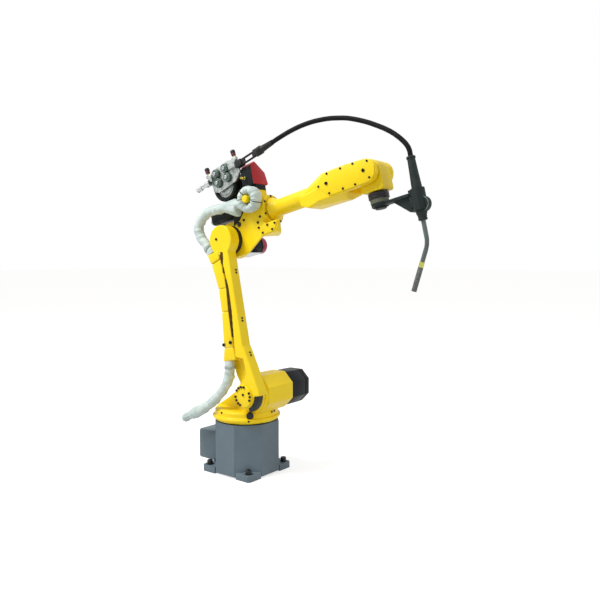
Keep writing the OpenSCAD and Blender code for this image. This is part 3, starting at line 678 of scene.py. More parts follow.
def on_circle(radius, degrees):
    """The two coordinates of a point on a circle."""
    return radius * math.cos(math.radians(degrees)), radius * math.sin(math.radians(degrees))


def round_spot(radius, degrees, height, head):
    """A screw on the side of a drum on the first axis."""
    out = Vector((*on_circle(1.0, degrees), 0.0))
    return out * radius + Vector((0.0, 0.0, height)), out, head


def facing_matrix(place, axis):
    """A frame at a place whose Z axis points along the axis."""
    return Matrix.Translation(place) @ Vector(axis).to_track_quat("Z", "Y").to_matrix().to_4x4()


cast_copy("turret_skin", "turret_casting", "turret", voxel=0.0035, rounds=5)
black_nylon, tree, surface = two_tone(
    "black_nylon", colour(20, 20, 22), colour(34, 34, 37), roughness=0.5, scale=90.0, gloss=0.3)
raised(tree, surface, mottle(tree, 400.0, 2.0), strength=0.12, distance=0.0004)

drum_r, flange_r = 0.164, 0.177
drum_plug_z, flange_screw_z, drum_screw_z = 0.321, 0.296, 0.326
plug_place, plug_out, plug_r = round_spot(drum_r, -41.5, drum_plug_z, 0.0185)
plug_shape = bmesh.new()
plug_profile = [(0.0, -0.01), (plug_r, -0.01), (plug_r, 0.004), (0.0150, 0.0065), (0.0, 0.0065)]
add_lathe(plug_shape, plug_profile, facing_matrix(plug_place, plug_out))
fit(make_piece("drum_plug", plug_shape, black_nylon, edge=0.001), "turret")

turret_spots = [round_spot(flange_r - 0.001, -44.0, flange_screw_z, head=0.005)]
turret_spots += [
    round_spot(drum_r - 0.002, a, drum_screw_z, head=0.0055) for a in (4.0, 12.0, 90.0, 150.0, 200.0, 262.0)]
cap_screws("turret_screws", "turret", turret_spots, height=0.8)

# Shoulder motor. An eight-sided servo motor on the far end of the shoulder housing: aluminium flange,
# stator frame and end bell, all sprayed black, with the grooves where they meet.

motor_black = painted_finish(
    "motor_black", colour(30, 35, 37), colour(23, 27, 29), colour(56, 61, 64),
    roughness=0.42, peel=0.10, gloss=0.1)


def join_rings(shape, rings, closed=False):
    """Walls from ring to ring. A closed row joins its last ring to its first, and any other is capped."""
    following = rings[1:] + rings[:1] if closed else rings[1:]
    for low, high in zip(rings, following):
        for k in range(len(low)):
            n = (k + 1) % len(low)
            shape.faces.new((low[k], low[n], high[n], high[k]))
    if not closed:
        shape.faces.new(rings[0])
        shape.faces.new(rings[-1])


def eight_sided(width, corner):
    """The corners of a square of a width with its four corners cut off."""
    h = width / 2
    c = h - corner
    return [(h, c), (c, h), (-c, h), (-h, c), (-h, -c), (-c, -h), (c, -h), (h, -c)]


def add_stack(shape, sections, matrix, corner_share):
    """An eight-sided body built of slices along the matrix's Y axis: (place, width) pairs in order."""
    rings = []
    for place, width in sections:
        outline = eight_sided(width, width * corner_share)
        rings.append([shape.verts.new(matrix @ Vector((x, place, z))) for x, z in outline])
    join_rings(shape, rings)


def groove(start, before, bottom, after, floor=0.003, slope=0.001):
    """The slices of a groove: the widths before, in and after it, and the lengths of its floor and slopes."""
    low = start + slope
    high = low + floor
    return [(start, before), (low, bottom), (high, bottom), (high + slope, after)]


motor_face, motor_end = (corner.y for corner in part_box("j2_motor"))
motor_w = 0.174
motor_shape = bmesh.new()
add_stack(motor_shape, [
    (motor_face - 0.004, motor_w),
    *groove(motor_face + 0.011, motor_w, motor_w - 0.006, motor_w - 0.001),
    *groove(motor_end - 0.042, motor_w - 0.001, motor_w - 0.006, motor_w - 0.002),
    (motor_end - 0.008, motor_w - 0.004), (motor_end - 0.001, motor_w - 0.016),
    (motor_end - 0.001, motor_w - 0.05), (motor_end - 0.004, motor_w - 0.054),
], Matrix.Translation(shoulder), corner_share=0.265)
fit(make_piece("shoulder_motor", motor_shape, motor_black, edge=0.0015), "turret", "j2_motor")

# Lower arm. A yellow cast box beam beside the turret, round at the elbow, with a rear web that
# carries the hose guide. The shoulder hub is closed by a bolted cap; a black piece fills the beam's foot.

cast_copy("lower_arm_skin", "lower_arm_casting", "lower_arm", voxel=0.0032, rounds=6)
edged_copy("hub_cap_skin", "j2_hub_cap", arm_yellow, "lower_arm", edge=0.003)
# A black piece fills the beam's open foot, where its hollow end is dark.
edged_copy("arm_foot_black_piece", "arm_end_plug", black_nylon, "lower_arm", edge=0.003)

arm_face = -0.165
hub_face = arm_face - 0.009
hub_circle, hub_head, web_head, edge_head = 0.0475, 0.0062, 0.0085, 0.0052
hub_arcs = (135.0, 113.0, 91.0, 69.0, 15.0, -7.0, -29.0, 176.0, 198.0, 220.0, 238.0)
to_near_side = Vector((0.0, -1.0, 0.0))


def arm_spot(forward, up_arm, y, head):
    """A screw on the near side of the lower arm, from its place ahead of and above the shoulder axis."""
    return in_lower_arm @ Vector((forward, y, up_arm)), to_near_side, head


lower_arm_spots = [arm_spot(*on_circle(hub_circle, a), hub_face, hub_head) for a in hub_arcs]
lower_arm_spots.append(arm_spot(0.004, 0.008, hub_face, hub_head))
lower_arm_spots.append(arm_spot(-0.024, 0.795, arm_face + 0.001, hub_head))
lower_arm_spots += [arm_spot(forward, up_arm, arm_face, web_head)
                    for forward, up_arm in ((-0.082, 0.266), (-0.034, 0.272))]
edge_pairs = ((0.040, -0.127, 0.619, 0.0), (0.040, -0.136, 0.376, 0.0), (0.055, -0.132, 0.201, 0.25))
for forward, y, up_arm, lean_out in edge_pairs:
    ahead = in_lower_arm.to_3x3() @ Vector((1.0, 0.0, lean_out))
    lower_arm_spots += [
        (in_lower_arm @ Vector((forward - 0.001 - lean_out * step, y, up_arm + step)), ahead, edge_head)
        for step in (-0.007, 0.007)
    ]
cap_screws("lower_arm_screws", "lower_arm", lower_arm_spots, height=0.75)

# Hose guide. Pressed steel covers along the rear of the arm, in the arm's yellow, with a leaning mouth
# a seam above them and a grey webbing strap where each sleeve leaves. Dark brown sheets fill the
# channel beside them: painted shade, coloured as the shade in that deep slot.

strap_web, tree, surface = two_tone(
    "strap_web", colour(140, 152, 146), colour(176, 186, 180), roughness=0.7, scale=70.0)
raised(tree, surface, mottle(tree, 600.0, 2.0), strength=0.2, distance=0.0004)
# The sheets in the slot are painted shade: their dark brown is the colour of the slot's shadow.
painted_slot_shade, tree, surface = two_tone(
    "painted_slot_shade", colour(56, 36, 4), colour(88, 62, 10), roughness=0.75, scale=40.0, detail=4.0, gloss=0.2)
raised(tree, surface, mottle(tree, 160.0, 3.0), strength=0.3, distance=0.001)


def add_prism(shape, outline, low, high, matrix, spread=()):
    """A flat outline in X and Z, as thick along Y as from low to high. Spread moves its far corners in X."""
    spread = spread or [0.0] * len(outline)
    near = [shape.verts.new(matrix @ Vector((x, low, z))) for x, z in outline]
    far = [shape.verts.new(matrix @ Vector((x + dx, high, z))) for (x, z), dx in zip(outline, spread)]
    join_rings(shape, [near, far])


guide_shape = cad_shape("cable_guide")
seam_at = in_lower_arm @ Vector((-0.084, 0.0, 0.675))
seam_square = in_lower_arm.to_3x3() @ Vector((-0.27, 0.0, 0.96))
whole_guide = guide_shape.verts[:] + guide_shape.edges[:] + guide_shape.faces[:]
cut = bmesh.ops.bisect_plane(
    guide_shape, geom=whole_guide, dist=1e-6, plane_co=seam_at, plane_no=seam_square, clear_outer=True)
cut_edges = [e for e in cut["geom_cut"] if isinstance(e, bmesh.types.BMEdge)]
bmesh.ops.contextual_create(guide_shape, geom=cut_edges)
mouth_outline = [(-0.084, 0.6772), (-0.0205, 0.6952), (-0.024, 0.737), (-0.101, 0.728)]
mouth_lean = (-0.019, 0.0, 0.0, -0.020)
guide_near, guide_far = -0.169, -0.111
add_prism(guide_shape, mouth_outline, guide_near, guide_far, in_lower_arm, spread=mouth_lean)
guide_skin = make_piece("guide_skin", guide_shape, arm_yellow, edge=0.006, steps=4)
fit(guide_skin, "lower_arm", "cable_guide")

strap_shape = cad_shape("hose_clamps")
upper_strap = [v for v in strap_shape.verts if v.co.z > shoulder.z + 0.4]
strap_shift = in_lower_arm.to_3x3() @ Vector((0.0125, 0.0, 0.006))
bmesh.ops.translate(strap_shape, vec=strap_shift, verts=upper_strap)
strap_skin = make_piece("strap_skin", strap_shape, strap_web, edge=0.001)
fit(strap_skin, "lower_arm", "hose_clamps")

# Painted shade: dark brown sheets fill the slot between the guide and the beam, standing in for its shadow.
slot_shade_near, slot_shade_far = -0.1652, -0.112
liner_shape = bmesh.new()
for outline in (
    [(-22.4, 298), (-14, 298), (-6, 345), (2, 428), (5, 545), (2.5, 587), (-9, 587), (-9, 545), (-18, 428)],
    [(-15, 620), (-3, 622), (-2, 645), (-13, 648), (-16, 634)],
    [(-18, 666), (-6, 664), (4, 690), (8, 722), (-10, 730), (-19, 704)],
):
    in_metres = [(0.001 * f, 0.001 * u) for f, u in outline]
    add_prism(liner_shape, in_metres, slot_shade_near, slot_shade_far, in_lower_arm)
fit(make_piece("slot_shade_sheet", liner_shape, painted_slot_shade, edge=0.0015), "lower_arm")

# Elbow. A yellow casting that is thin beside its motor and deep where the forearm turns in it, with
# a bolted side cover, a rubber plug and a dark lip seal against the lower arm.

cast_copy("elbow_skin", "j3_casting", "upper_arm", voxel=0.0032, rounds=5)
edged_copy("side_cover_skin", "j3_side_cover", arm_yellow, "upper_arm", edge=0.0018)

elbow_face, cover_face = -0.080, -0.084
screw_sink = 0.0005
seat_face, seat_circle, roll_u = 0.239, 0.0700, 0.100
seat_arcs = (41.0, 93.5, 146.0, 198.5, 251.0, 303.5, 356.0)
away_side = Vector((0.0, 1.0, 0.0))
along_forearm = in_upper_arm.to_3x3() @ Vector((1.0, 0.0, 0.0))


def elbow_spot(along, above, y, head, facing=to_near_side):
    """A screw on a side of the elbow, from its place along and above the elbow axis."""
    return in_upper_arm @ Vector((along, y, above)), facing, head


elbow_spots = [elbow_spot(a, u, elbow_face + screw_sink, head=0.0062) for a, u in (
    (0.106, 0.079), (0.194, 0.043), (0.214, 0.068))]
elbow_spots += [elbow_spot(a, u, cover_face, head=0.0055) for a, u in (
    (0.197, 0.016), (0.254, 0.016), (0.301, 0.014), (0.217, -0.015), (0.280, -0.013))]
elbow_spots += [elbow_spot(a, u, -elbow_face - screw_sink, head=0.006, facing=away_side) for a, u in (
    (0.066, 0.170), (0.138, 0.170), (0.066, 0.044), (0.138, 0.044))]
elbow_spots += [elbow_spot(seat_face, roll_u + above, y, head=0.0055, facing=along_forearm) for y, above in (
    on_circle(seat_circle, a) for a in seat_arcs)]
elbow_spots.append(elbow_spot(0.222, 0.181, -0.066, head=0.0062, facing=along_forearm))
cap_screws("elbow_screws", "upper_arm", elbow_spots, height=0.75)

quarter_turn = math.radians(90.0)
seal_shape = bmesh.new()
add_lathe(seal_shape, [
    (0.0655, 0.079), (0.074, 0.079), (0.0725, 0.092), (0.0690, 0.1025), (0.0655, 0.1025), (0.0655, 0.079),
], in_upper_arm @ Matrix.Rotation(quarter_turn, 4, "X"), segments=72)
fit(make_piece("elbow_seal", seal_shape, black_nylon, edge=0.001), "upper_arm")
plug_shape = bmesh.new()
plug_profile = [(0.0, -0.004), (0.0125, -0.004), (0.0125, 0.004), (0.0095, 0.006), (0.0, 0.006)]
plug_place = in_upper_arm @ Vector((0.070, elbow_face, 0.066))
add_lathe(plug_shape, plug_profile, facing_matrix(plug_place, to_near_side), segments=32)
fit(make_piece("elbow_plug", plug_shape, black_nylon, edge=0.001), "upper_arm")

# Elbow motors. The elbow's own motor has a moulded red end cap and a bare steel foot plate, two wrist
# motors lie side by side behind the elbow with a thin black flange beside them, and the forearm's
# turning motor is on the far side.

elbow_motor_at = in_upper_arm @ Matrix.Translation((-0.009, 0.0, -0.021))
motor_low, motor_high = -0.025, 0.115
elbow_motor_w = 0.094
motor_shape = bmesh.new()
add_stack(motor_shape, [
    (motor_low, elbow_motor_w),
    *groove(motor_low + 0.012, elbow_motor_w, elbow_motor_w - 0.004, elbow_motor_w),
    *groove(motor_high - 0.014, elbow_motor_w, elbow_motor_w - 0.004, elbow_motor_w - 0.001),
    (motor_high, elbow_motor_w - 0.001),
], elbow_motor_at, corner_share=0.234)
fit(make_piece("elbow_motor", motor_shape, motor_black, edge=0.0012), "upper_arm", "j3_motor")

cap_red, tree, surface = two_tone(
    "cap_red", colour(150, 16, 62), colour(178, 26, 78), roughness=0.38, scale=30.0)
raised(tree, surface, mottle(tree, 500.0, 2.0), strength=0.08, distance=0.0003)
edged_copy("elbow_motor_cap", "j3_motor_cap", cap_red, "upper_arm", edge=0.004, steps=4)


def brushed_finish(name, dark, light, roughness):
    """Bare machined metal with fine scratches along it."""
    finish, tree, surface = new_finish(name, roughness, metallic=1.0)
    where = tree.nodes.new("ShaderNodeTexCoord").outputs["Object"]
    stretch = wired(tree, "ShaderNodeMapping", Vector=where, Scale=(60.0, 900.0, 900.0))
    lines = wired(tree, "ShaderNodeTexNoise", Vector=stretch.outputs["Vector"], Scale=1.0, Detail=2.0)
    tree.links.new(between(tree, lines.outputs["Fac"], dark, light), surface.inputs["Base Color"])
    uneven = spanned(tree, mottle(tree, 70.0), roughness - 0.1, roughness + 0.12)
    tree.links.new(uneven, surface.inputs["Roughness"])
    raised(tree, surface, lines.outputs["Fac"], strength=0.08, distance=0.0003)
    return finish


bare_steel = brushed_finish("bare_steel", colour(166, 171, 170), colour(205, 209, 207), roughness=0.36)
foot_shape = bmesh.new()
foot_outline = [(-0.060, -0.074), (0.040, -0.074), (0.040, -0.0705), (-0.060, -0.0705)]
add_prism(foot_shape, foot_outline, motor_low, motor_high - 0.02, in_upper_arm)
fit(make_piece("elbow_motor_foot", foot_shape, bare_steel, edge=0.0008), "upper_arm")

wrist_motor_u, wrist_motor_y, wrist_motor_w = 0.146, 0.040, 0.078
motor_root, motor_tail = 0.052, -0.124
to_rear = (in_upper_arm.to_3x3() @ Vector((-1.0, 0.0, 0.0))).normalized()
wrist_motor_shape, plug_rings = bmesh.new(), bmesh.new()
for sign in (-1, 1):
    motor_axis = in_upper_arm @ Matrix.Translation((0.0, sign * wrist_motor_y, wrist_motor_u))
    add_stack(wrist_motor_shape, [
        (-motor_root, wrist_motor_w),
        *groove(-motor_root + 0.010, wrist_motor_w, wrist_motor_w - 0.004, wrist_motor_w),
        *groove(0.070, wrist_motor_w, wrist_motor_w - 0.005, wrist_motor_w - 0.003, floor=0.004),
        (-motor_tail - 0.006, wrist_motor_w - 0.004), (-motor_tail, wrist_motor_w - 0.014),
    ], motor_axis @ Matrix.Rotation(quarter_turn, 4, "Z"), corner_share=0.205)
    for rise, r in ((-0.012, 0.017), (0.022, 0.011)):
        stub = facing_matrix(motor_axis @ Vector((motor_tail, 0.0, rise)), to_rear)
        add_lathe(wrist_motor_shape, [
            (0.0, -0.002), (r, -0.002), (r, 0.012), (r - 0.002, 0.013), (r - 0.002, 0.024),
            (r - 0.005, 0.026), (0.0, 0.026)], stub, segments=28)
        add_lathe(plug_rings, ring_section(r - 0.0025, r + 0.0012, 0.013, 0.020), stub, segments=28)
wrist_motor_pair = make_piece("wrist_motor_pair", wrist_motor_shape, motor_black, edge=0.0010)
fit(wrist_motor_pair, "upper_arm", "wrist_motors")
flange_near, flange_far = -0.0842, -0.078
flange_shape = bmesh.new()
add_prism(flange_shape, [
    (0.036, 0.066), (0.078, 0.085), (0.104, 0.111), (0.116, 0.124), (0.116, 0.150), (0.052, 0.150),
    (0.045, 0.112), (0.038, 0.084)], flange_near, flange_far, in_upper_arm)
fit(make_piece("wrist_motor_flange", flange_shape, motor_black, edge=0.0012), "upper_arm")
fit(make_piece("motor_plug_nuts", plug_rings, bare_steel, edge=0.0006), "upper_arm")

roll_motor_at = in_upper_arm @ Matrix.Translation((0.104, 0.0, roll_u))
roll_motor_w = 0.082
motor_shape = bmesh.new()
add_stack(motor_shape, [
    (0.078, roll_motor_w), *groove(0.090, roll_motor_w, roll_motor_w - 0.004, roll_motor_w),
    (0.140, roll_motor_w), (0.142, roll_motor_w - 0.004)], roll_motor_at, corner_share=0.195)
add_lathe(motor_shape, [
    (0.0, 0.139), (0.037, 0.139), (0.037, 0.160), (0.0355, 0.161), (0.0355, 0.163), (0.037, 0.164),
    (0.036, 0.168), (0.030, 0.172), (0.0, 0.172)], roll_motor_at @ Matrix.Rotation(-quarter_turn, 4, "X"))
roll_motor = make_piece("forearm_turn_motor", motor_shape, motor_black, edge=0.0012)
fit(roll_motor, "upper_arm", "j4_motor")

# Gathered sleeve. The upper sleeve's slack is bunched round a yellow post on the side of the elbow,
# so that it can pay out when the forearm turns. Cable ties hold the bunch, and the sleeve flares into
# a wide mouth where it meets it.

wrap_place = Matrix.Translation((0.193, 0.0, 0.158))
wrap_at = in_upper_arm @ wrap_place @ Matrix.Rotation(quarter_turn, 4, "X")
wrap_mid, wrap_deep, wrap_wide = 0.0455, 0.0215, 0.0315
wrap_centre_h = 0.1135
around, across = 220, 64


def wrap_point(turn, roll, swell=0.0):
    """A point on the bunch: turn goes round the post and roll goes round the cloth."""
    wavy = turn + 0.16 * math.sin(3 * turn + 0.7) + 0.07 * math.sin(7 * turn + 2.0)
    fold = abs(math.sin(6.5 * wavy)) ** 0.6 - 0.6
    fine = math.sin(23 * wavy + 2.2 * math.sin(roll)) * 0.35
    inward = 0.5 - 0.5 * math.cos(roll)
    depth = 0.0016 + 0.0040 * inward
    puff = (fold + fine) * depth + 0.0014 * math.sin(2 * turn + 1.0) + swell
    r = wrap_mid + (wrap_deep + puff) * math.cos(roll) * (1.0 + 0.05 * math.sin(4 * turn))
    h = wrap_centre_h + (wrap_wide + puff) * math.copysign(abs(math.sin(roll)) ** 0.85, math.sin(roll))
    return Vector((r * math.cos(turn), r * math.sin(turn), h))


wrap_shape = bmesh.new()
rolls = [2 * math.pi * k / across for k in range(across)]
rows = []
for i in range(around):
    turn = 2 * math.pi * i / around
    rows.append([wrap_shape.verts.new(wrap_at @ wrap_point(turn, roll)) for roll in rolls])
join_rings(wrap_shape, rows, closed=True)
bunch = make_piece("gathered_sleeve", wrap_shape, sleeve_cloth)
fit(bunch, "upper_arm", "hose_wrap")

mouth_sides = 96
mouth_turns = [2 * math.pi * k / mouth_sides for k in range(mouth_sides)]
mouth_shape = bmesh.new()
mouth_rows = []
for along, y, above, tall, deep in (
    (0.026, -0.131, 0.1590, 0.0200, 0.0200), (0.036, -0.130, 0.1580, 0.0245, 0.0245),
    (0.050, -0.128, 0.1555, 0.0290, 0.0265), (0.072, -0.126, 0.1490, 0.0350, 0.0285),
    (0.092, -0.122, 0.1430, 0.0415, 0.0295), (0.104, -0.120, 0.1400, 0.0450, 0.0300),
    (0.111, -0.119, 0.1390, 0.0450, 0.0290), (0.115, -0.118, 0.1390, 0.0410, 0.0250),
    (0.111, -0.118, 0.1390, 0.0350, 0.0190),
):
    full = min(1.0, max(0.0, (along - 0.034) / 0.06))
    row = []
    for a in mouth_turns:
        fold = 1 + full * (0.024 * math.sin(7 * a + 9 * along + 1.3) + 0.014 * math.sin(13 * a - 12 * along))
        row.append(mouth_shape.verts.new(
            in_upper_arm @ Vector((along, y + deep * fold * math.cos(a), above + tall * fold * math.sin(a)))))
    mouth_rows.append(row)
join_rings(mouth_shape, mouth_rows)
bmesh.ops.subdivide_edges(mouth_shape, edges=mouth_shape.edges[:], cuts=1, smooth=1.0, use_grid_fill=True)
sleeve_mouth = make_piece("sleeve_mouth", mouth_shape, sleeve_cloth)
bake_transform(sleeve_mouth)

tie_half, tie_out, tie_in = 0.026, 0.0022, 0.0002
tie_corners = ((-tie_half, tie_out), (tie_half, tie_out), (tie_half, tie_in), (-tie_half, tie_in))
tie_shape = bmesh.new()
for degrees in (118.0, 170.0, -28.0):
    turn = math.radians(degrees)
    join_rings(tie_shape, [
        [tie_shape.verts.new(wrap_at @ wrap_point(turn + aside, roll, swell)) for aside, swell in tie_corners]
        for roll in rolls
    ], closed=True)
fit(make_piece("bunch_ties", tie_shape, black_nylon), "upper_arm")
edged_copy("post_skin", "wrap_post", arm_yellow, "upper_arm", edge=0.006, steps=4)

# Wire feeder body. A black steel base and upright on the elbow's top, with the drive's round black
# gear housing in front, its motor behind, and a red sheet-steel cover over the front end.

edged_copy("feeder_base_skin", "feeder_base", motor_black, "upper_arm", edge=0.002)

gear_place = Matrix.Translation((-0.020, 0.0, -0.045))
gear_centre = in_feeder @ gear_place @ Matrix.Rotation(quarter_turn, 4, "X")
housing_back, housing_front = 0.012, 0.085
housing_shape = bmesh.new()
add_lathe(housing_shape, [
    (0.0, housing_back), (0.076, housing_back), (0.080, housing_back + 0.004), (0.080, 0.046),
    (0.0775, 0.0475), (0.0775, 0.0505), (0.080, 0.052), (0.080, housing_front - 0.006),
    (0.076, housing_front - 0.001), (0.063, housing_front - 0.001), (0.060, housing_front - 0.004),
    (0.060, housing_front - 0.014), (0.0, housing_front - 0.014)], gear_centre, segments=80)
gear_housing = make_piece("gear_housing", housing_shape, motor_black, edge=0.0008)
fit(gear_housing, "upper_arm", "feeder_gear_housing")

cast_silver, tree, surface = two_tone(
    "cast_silver", colour(150, 156, 152), colour(196, 201, 198),
    roughness=0.45, scale=60.0, detail=4.0, metallic=0.75)
tree.links.new(spanned(tree, mottle(tree, 90.0), 0.34, 0.58), surface.inputs["Roughness"])
raised(tree, surface, mottle(tree, 380.0, 3.0), strength=0.2, distance=0.0006)
face_shape = bmesh.new()
add_lathe(face_shape, [
    (0.0, -0.015), (0.0595, -0.015), (0.0595, -0.010), (0.052, -0.008), (0.050, -0.0105), (0.047, -0.0105),
    (0.045, -0.007), (0.0, -0.006)], gear_centre @ Matrix.Translation((0.0, 0.0, housing_front)), segments=80)
fit(make_piece("gear_face", face_shape, cast_silver, edge=0.0006), "upper_arm")

motor_shape = bmesh.new()
add_lathe(motor_shape, [
    (0.0, 0.002), (0.042, 0.002), (0.042, -0.012), (0.0395, -0.014), (0.0395, -0.058), (0.042, -0.060),
    (0.042, -0.068), (0.036, -0.071), (0.034, -0.073), (0.034, -0.088), (0.030, -0.092), (0.0, -0.092),
], gear_centre)
feeder_motor = make_piece("feeder_motor_skin", motor_shape, motor_black, edge=0.001)
fit(feeder_motor, "upper_arm", "feeder_motor")

cover_red = painted_finish(
    "cover_red", colour(196, 14, 28), colour(172, 8, 24), colour(214, 60, 66),
    roughness=0.34, peel=0.06)
edged_copy("feeder_cover_skin", "feeder_cover", cover_red, "upper_arm", edge=0.005, steps=4)
side_plate = -0.100
above_arm = Vector((-math.sin(pitch), 0.0, math.cos(pitch)))
cover_spots = [elbow_spot(a, u, side_plate, head=0.0042) for a, u in (
    (0.162, 0.238), (0.214, 0.238), (0.162, 0.311), (0.214, 0.314))]
cover_spots += [elbow_spot(a, 0.232, -0.072, head=0.005, facing=above_arm) for a in (0.120, 0.146)]
cap_screws("feeder_cover_screws", "upper_arm", cover_spots, height=0.6)

# Wire drive. Four grooved rolls on toothed wheels press the wire along. Two cast pressure arms close on
# the upper rolls and are held down by fluted screw knobs, all on a cast plate.

edged_copy("drive_plate_skin", "drive_plate", cast_silver, "upper_arm", edge=0.003)

plate_front, wheel_t = 0.097, 0.007
tooth_count, pitch_r = 26, 0.0238
tooth_form = ((-0.30, -0.0013), (-0.16, 0.0012), (0.16, 0.0012), (0.30, -0.0013))
wheel_back = in_feeder @ Matrix.Rotation(quarter_turn, 4, "X")
gear_steel = brushed_finish("gear_steel", colour(70, 84, 80), colour(124, 136, 130), roughness=0.4)
wheel_shape, roll_shape, nut_shape = bmesh.new(), bmesh.new(), bmesh.new()
for sw in (-1, 1):
    for sv in (-1, 1):
        centre = wheel_back @ Matrix.Translation((sw * 0.034, sv * 0.0245, 0.0))
        mesh_turn = 0.5 if sv > 0 else 0.0
        outline = []
        for k in range(tooth_count):
            for share, rise in tooth_form:
                a = 2 * math.pi * (k + share + mesh_turn) / tooth_count
                outline.append(((pitch_r + rise) * math.cos(a), (pitch_r + rise) * math.sin(a)))
        join_rings(wheel_shape, [
            [wheel_shape.verts.new(centre @ Vector((x, y, h))) for x, y in outline]
            for h in (plate_front, plate_front + wheel_t)
        ])
        wheel_front = centre @ Matrix.Translation((0.0, 0.0, plate_front + wheel_t))
        add_lathe(roll_shape, [
            (0.0, -0.001), (0.0218, -0.001), (0.0218, 0.004), (0.0200, 0.0055), (0.0218, 0.007),
            (0.0218, 0.011), (0.0208, 0.012), (0.0160, 0.012), (0.0150, 0.0095), (0.0132, 0.0095),
            (0.0122, 0.012), (0.0, 0.012)], wheel_front, segments=40)
        add_lathe(nut_shape, [
            (0.0, 0.0115), (0.0095, 0.0115), (0.0095, 0.0175), (0.0082, 0.019), (0.0045, 0.019),
            (0.0045, 0.0155), (0.0, 0.0155)], wheel_front, segments=24)
fit(make_piece("feed_wheels", wheel_shape, gear_steel), "upper_arm", "drive_rolls")
fit(make_piece("feed_rolls", roll_shape, gear_steel, edge=0.0004), "upper_arm")
fit(make_piece("roll_nuts", nut_shape, bare_steel, edge=0.0004), "upper_arm")
edged_copy("pressure_arms_skin", "pressure_arms", cast_silver, "upper_arm", edge=0.004)

knob_red, tree, surface = two_tone(
    "knob_red", colour(70, 8, 26), colour(104, 14, 38), roughness=0.35, scale=120.0)
raised(tree, surface, mottle(tree, 600.0, 2.0), strength=0.08, distance=0.0003)
fitting_brass = brushed_finish("fitting_brass", colour(142, 130, 50), colour(196, 182, 92), roughness=0.34)
knob_y, knob_sides, flutes, flute_depth = -0.107, 60, 10, 0.045
grip_profile = [(0.0195, 0.0115), (0.021, 0.0125), (0.033, 0.0128), (0.037, 0.0105), (0.038, 0.006)]
knob_turns = [2 * math.pi * k / knob_sides for k in range(knob_sides)]
knob_shape, knob_base, stem_shape = bmesh.new(), bmesh.new(), bmesh.new()
for w, v in ((0.115, 0.046), (-0.083, 0.042)):
    stand = in_feeder @ Matrix.Translation((w, knob_y, v))
    add_lathe(stem_shape, [(0.0, -0.001), (0.006, -0.001), (0.006, 0.009), (0.0, 0.009)], stand, segments=20)
    add_lathe(knob_base, [
        (0.0, 0.008), (0.0105, 0.008), (0.0118, 0.010), (0.0118, 0.019), (0.0105, 0.020), (0.0, 0.020),
    ], stand, segments=28)
    grip = []
    for h, full_r in grip_profile:
        radii = [full_r * (1 - flute_depth * (0.5 + 0.5 * math.cos(flutes * a))) for a in knob_turns]
        rim = [Vector((r * math.cos(a), r * math.sin(a), h)) for r, a in zip(radii, knob_turns)]
        grip.append([knob_shape.verts.new(stand @ p) for p in rim])
    join_rings(knob_shape, grip)
knob_grips = make_piece("pressure_knob_grips", knob_shape, black_nylon)
fit(knob_grips, "upper_arm", "pressure_knobs")
fit(make_piece("pressure_knob_collars", knob_base, knob_red, edge=0.0006), "upper_arm")
fit(make_piece("pressure_knob_stems", stem_shape, fitting_brass), "upper_arm")

# Wire inlet and outlet. A steel inlet guide with a clear liner socket at the rear, brass gas and air
# fittings beside the plate, and at the front a black outlet block with a slot through it and the
# cable's ribbed connector.

inlet_place = Matrix.Translation((0.0, wire_y, 0.0))
inlet_frame = in_feeder @ inlet_place @ Matrix.Rotation(quarter_turn, 4, "Y")
inlet_shape = bmesh.new()
add_lathe(inlet_shape, [
    (0.0, -0.087), (0.016, -0.087), (0.016, -0.094), (0.0145, -0.095), (0.0145, -0.099), (0.016, -0.100),
    (0.016, -0.114), (0.012, -0.117), (0.010, -0.118), (0.010, -0.149), (0.0, -0.149),
], inlet_frame, segments=36)
wire_inlet = make_piece("wire_inlet_skin", inlet_shape, bare_steel, edge=0.0006)
fit(wire_inlet, "upper_arm", "wire_inlet")

clear_nylon, tree, surface = two_tone(
    "clear_nylon", colour(214, 219, 217), colour(234, 237, 236), roughness=0.22, scale=80.0)
surface.inputs["Transmission Weight"].default_value = 0.55
surface.inputs["IOR"].default_value = 1.5
liner_shape = bmesh.new()
add_lathe(liner_shape, [
    (0.0, -0.148), (0.0118, -0.148), (0.013, -0.151), (0.013, -0.170), (0.0118, -0.171), (0.0118, -0.175),
    (0.013, -0.176), (0.013, -0.182), (0.011, -0.184), (0.0045, -0.184), (0.0045, -0.172), (0.0, -0.172),
], inlet_frame, segments=36)
fit(make_piece("liner_socket", liner_shape, clear_nylon, edge=0.0005), "upper_arm")
edged_copy("wire_outlet_skin", "wire_outlet", black_nylon, "upper_arm", edge=0.002)

fitting_shape = bmesh.new()
for a, u, r, long in ((0.178, 0.270, 0.0085, 0.022), (0.163, 0.276, 0.0065, 0.016)):
    stand = facing_matrix(in_upper_arm @ Vector((a, side_plate, u)), to_near_side)
    add_lathe(fitting_shape, [
        (0.0, -0.001), (r, -0.001), (r, long * 0.3), (r * 0.75, long * 0.34), (r * 0.75, long * 0.5),
        (r * 0.95, long * 0.55), (r * 0.95, long * 0.85), (r * 0.7, long), (0.0, long)], stand, segments=6)
fit(make_piece("brass_fittings", fitting_shape, fitting_brass, edge=0.0005), "upper_arm")

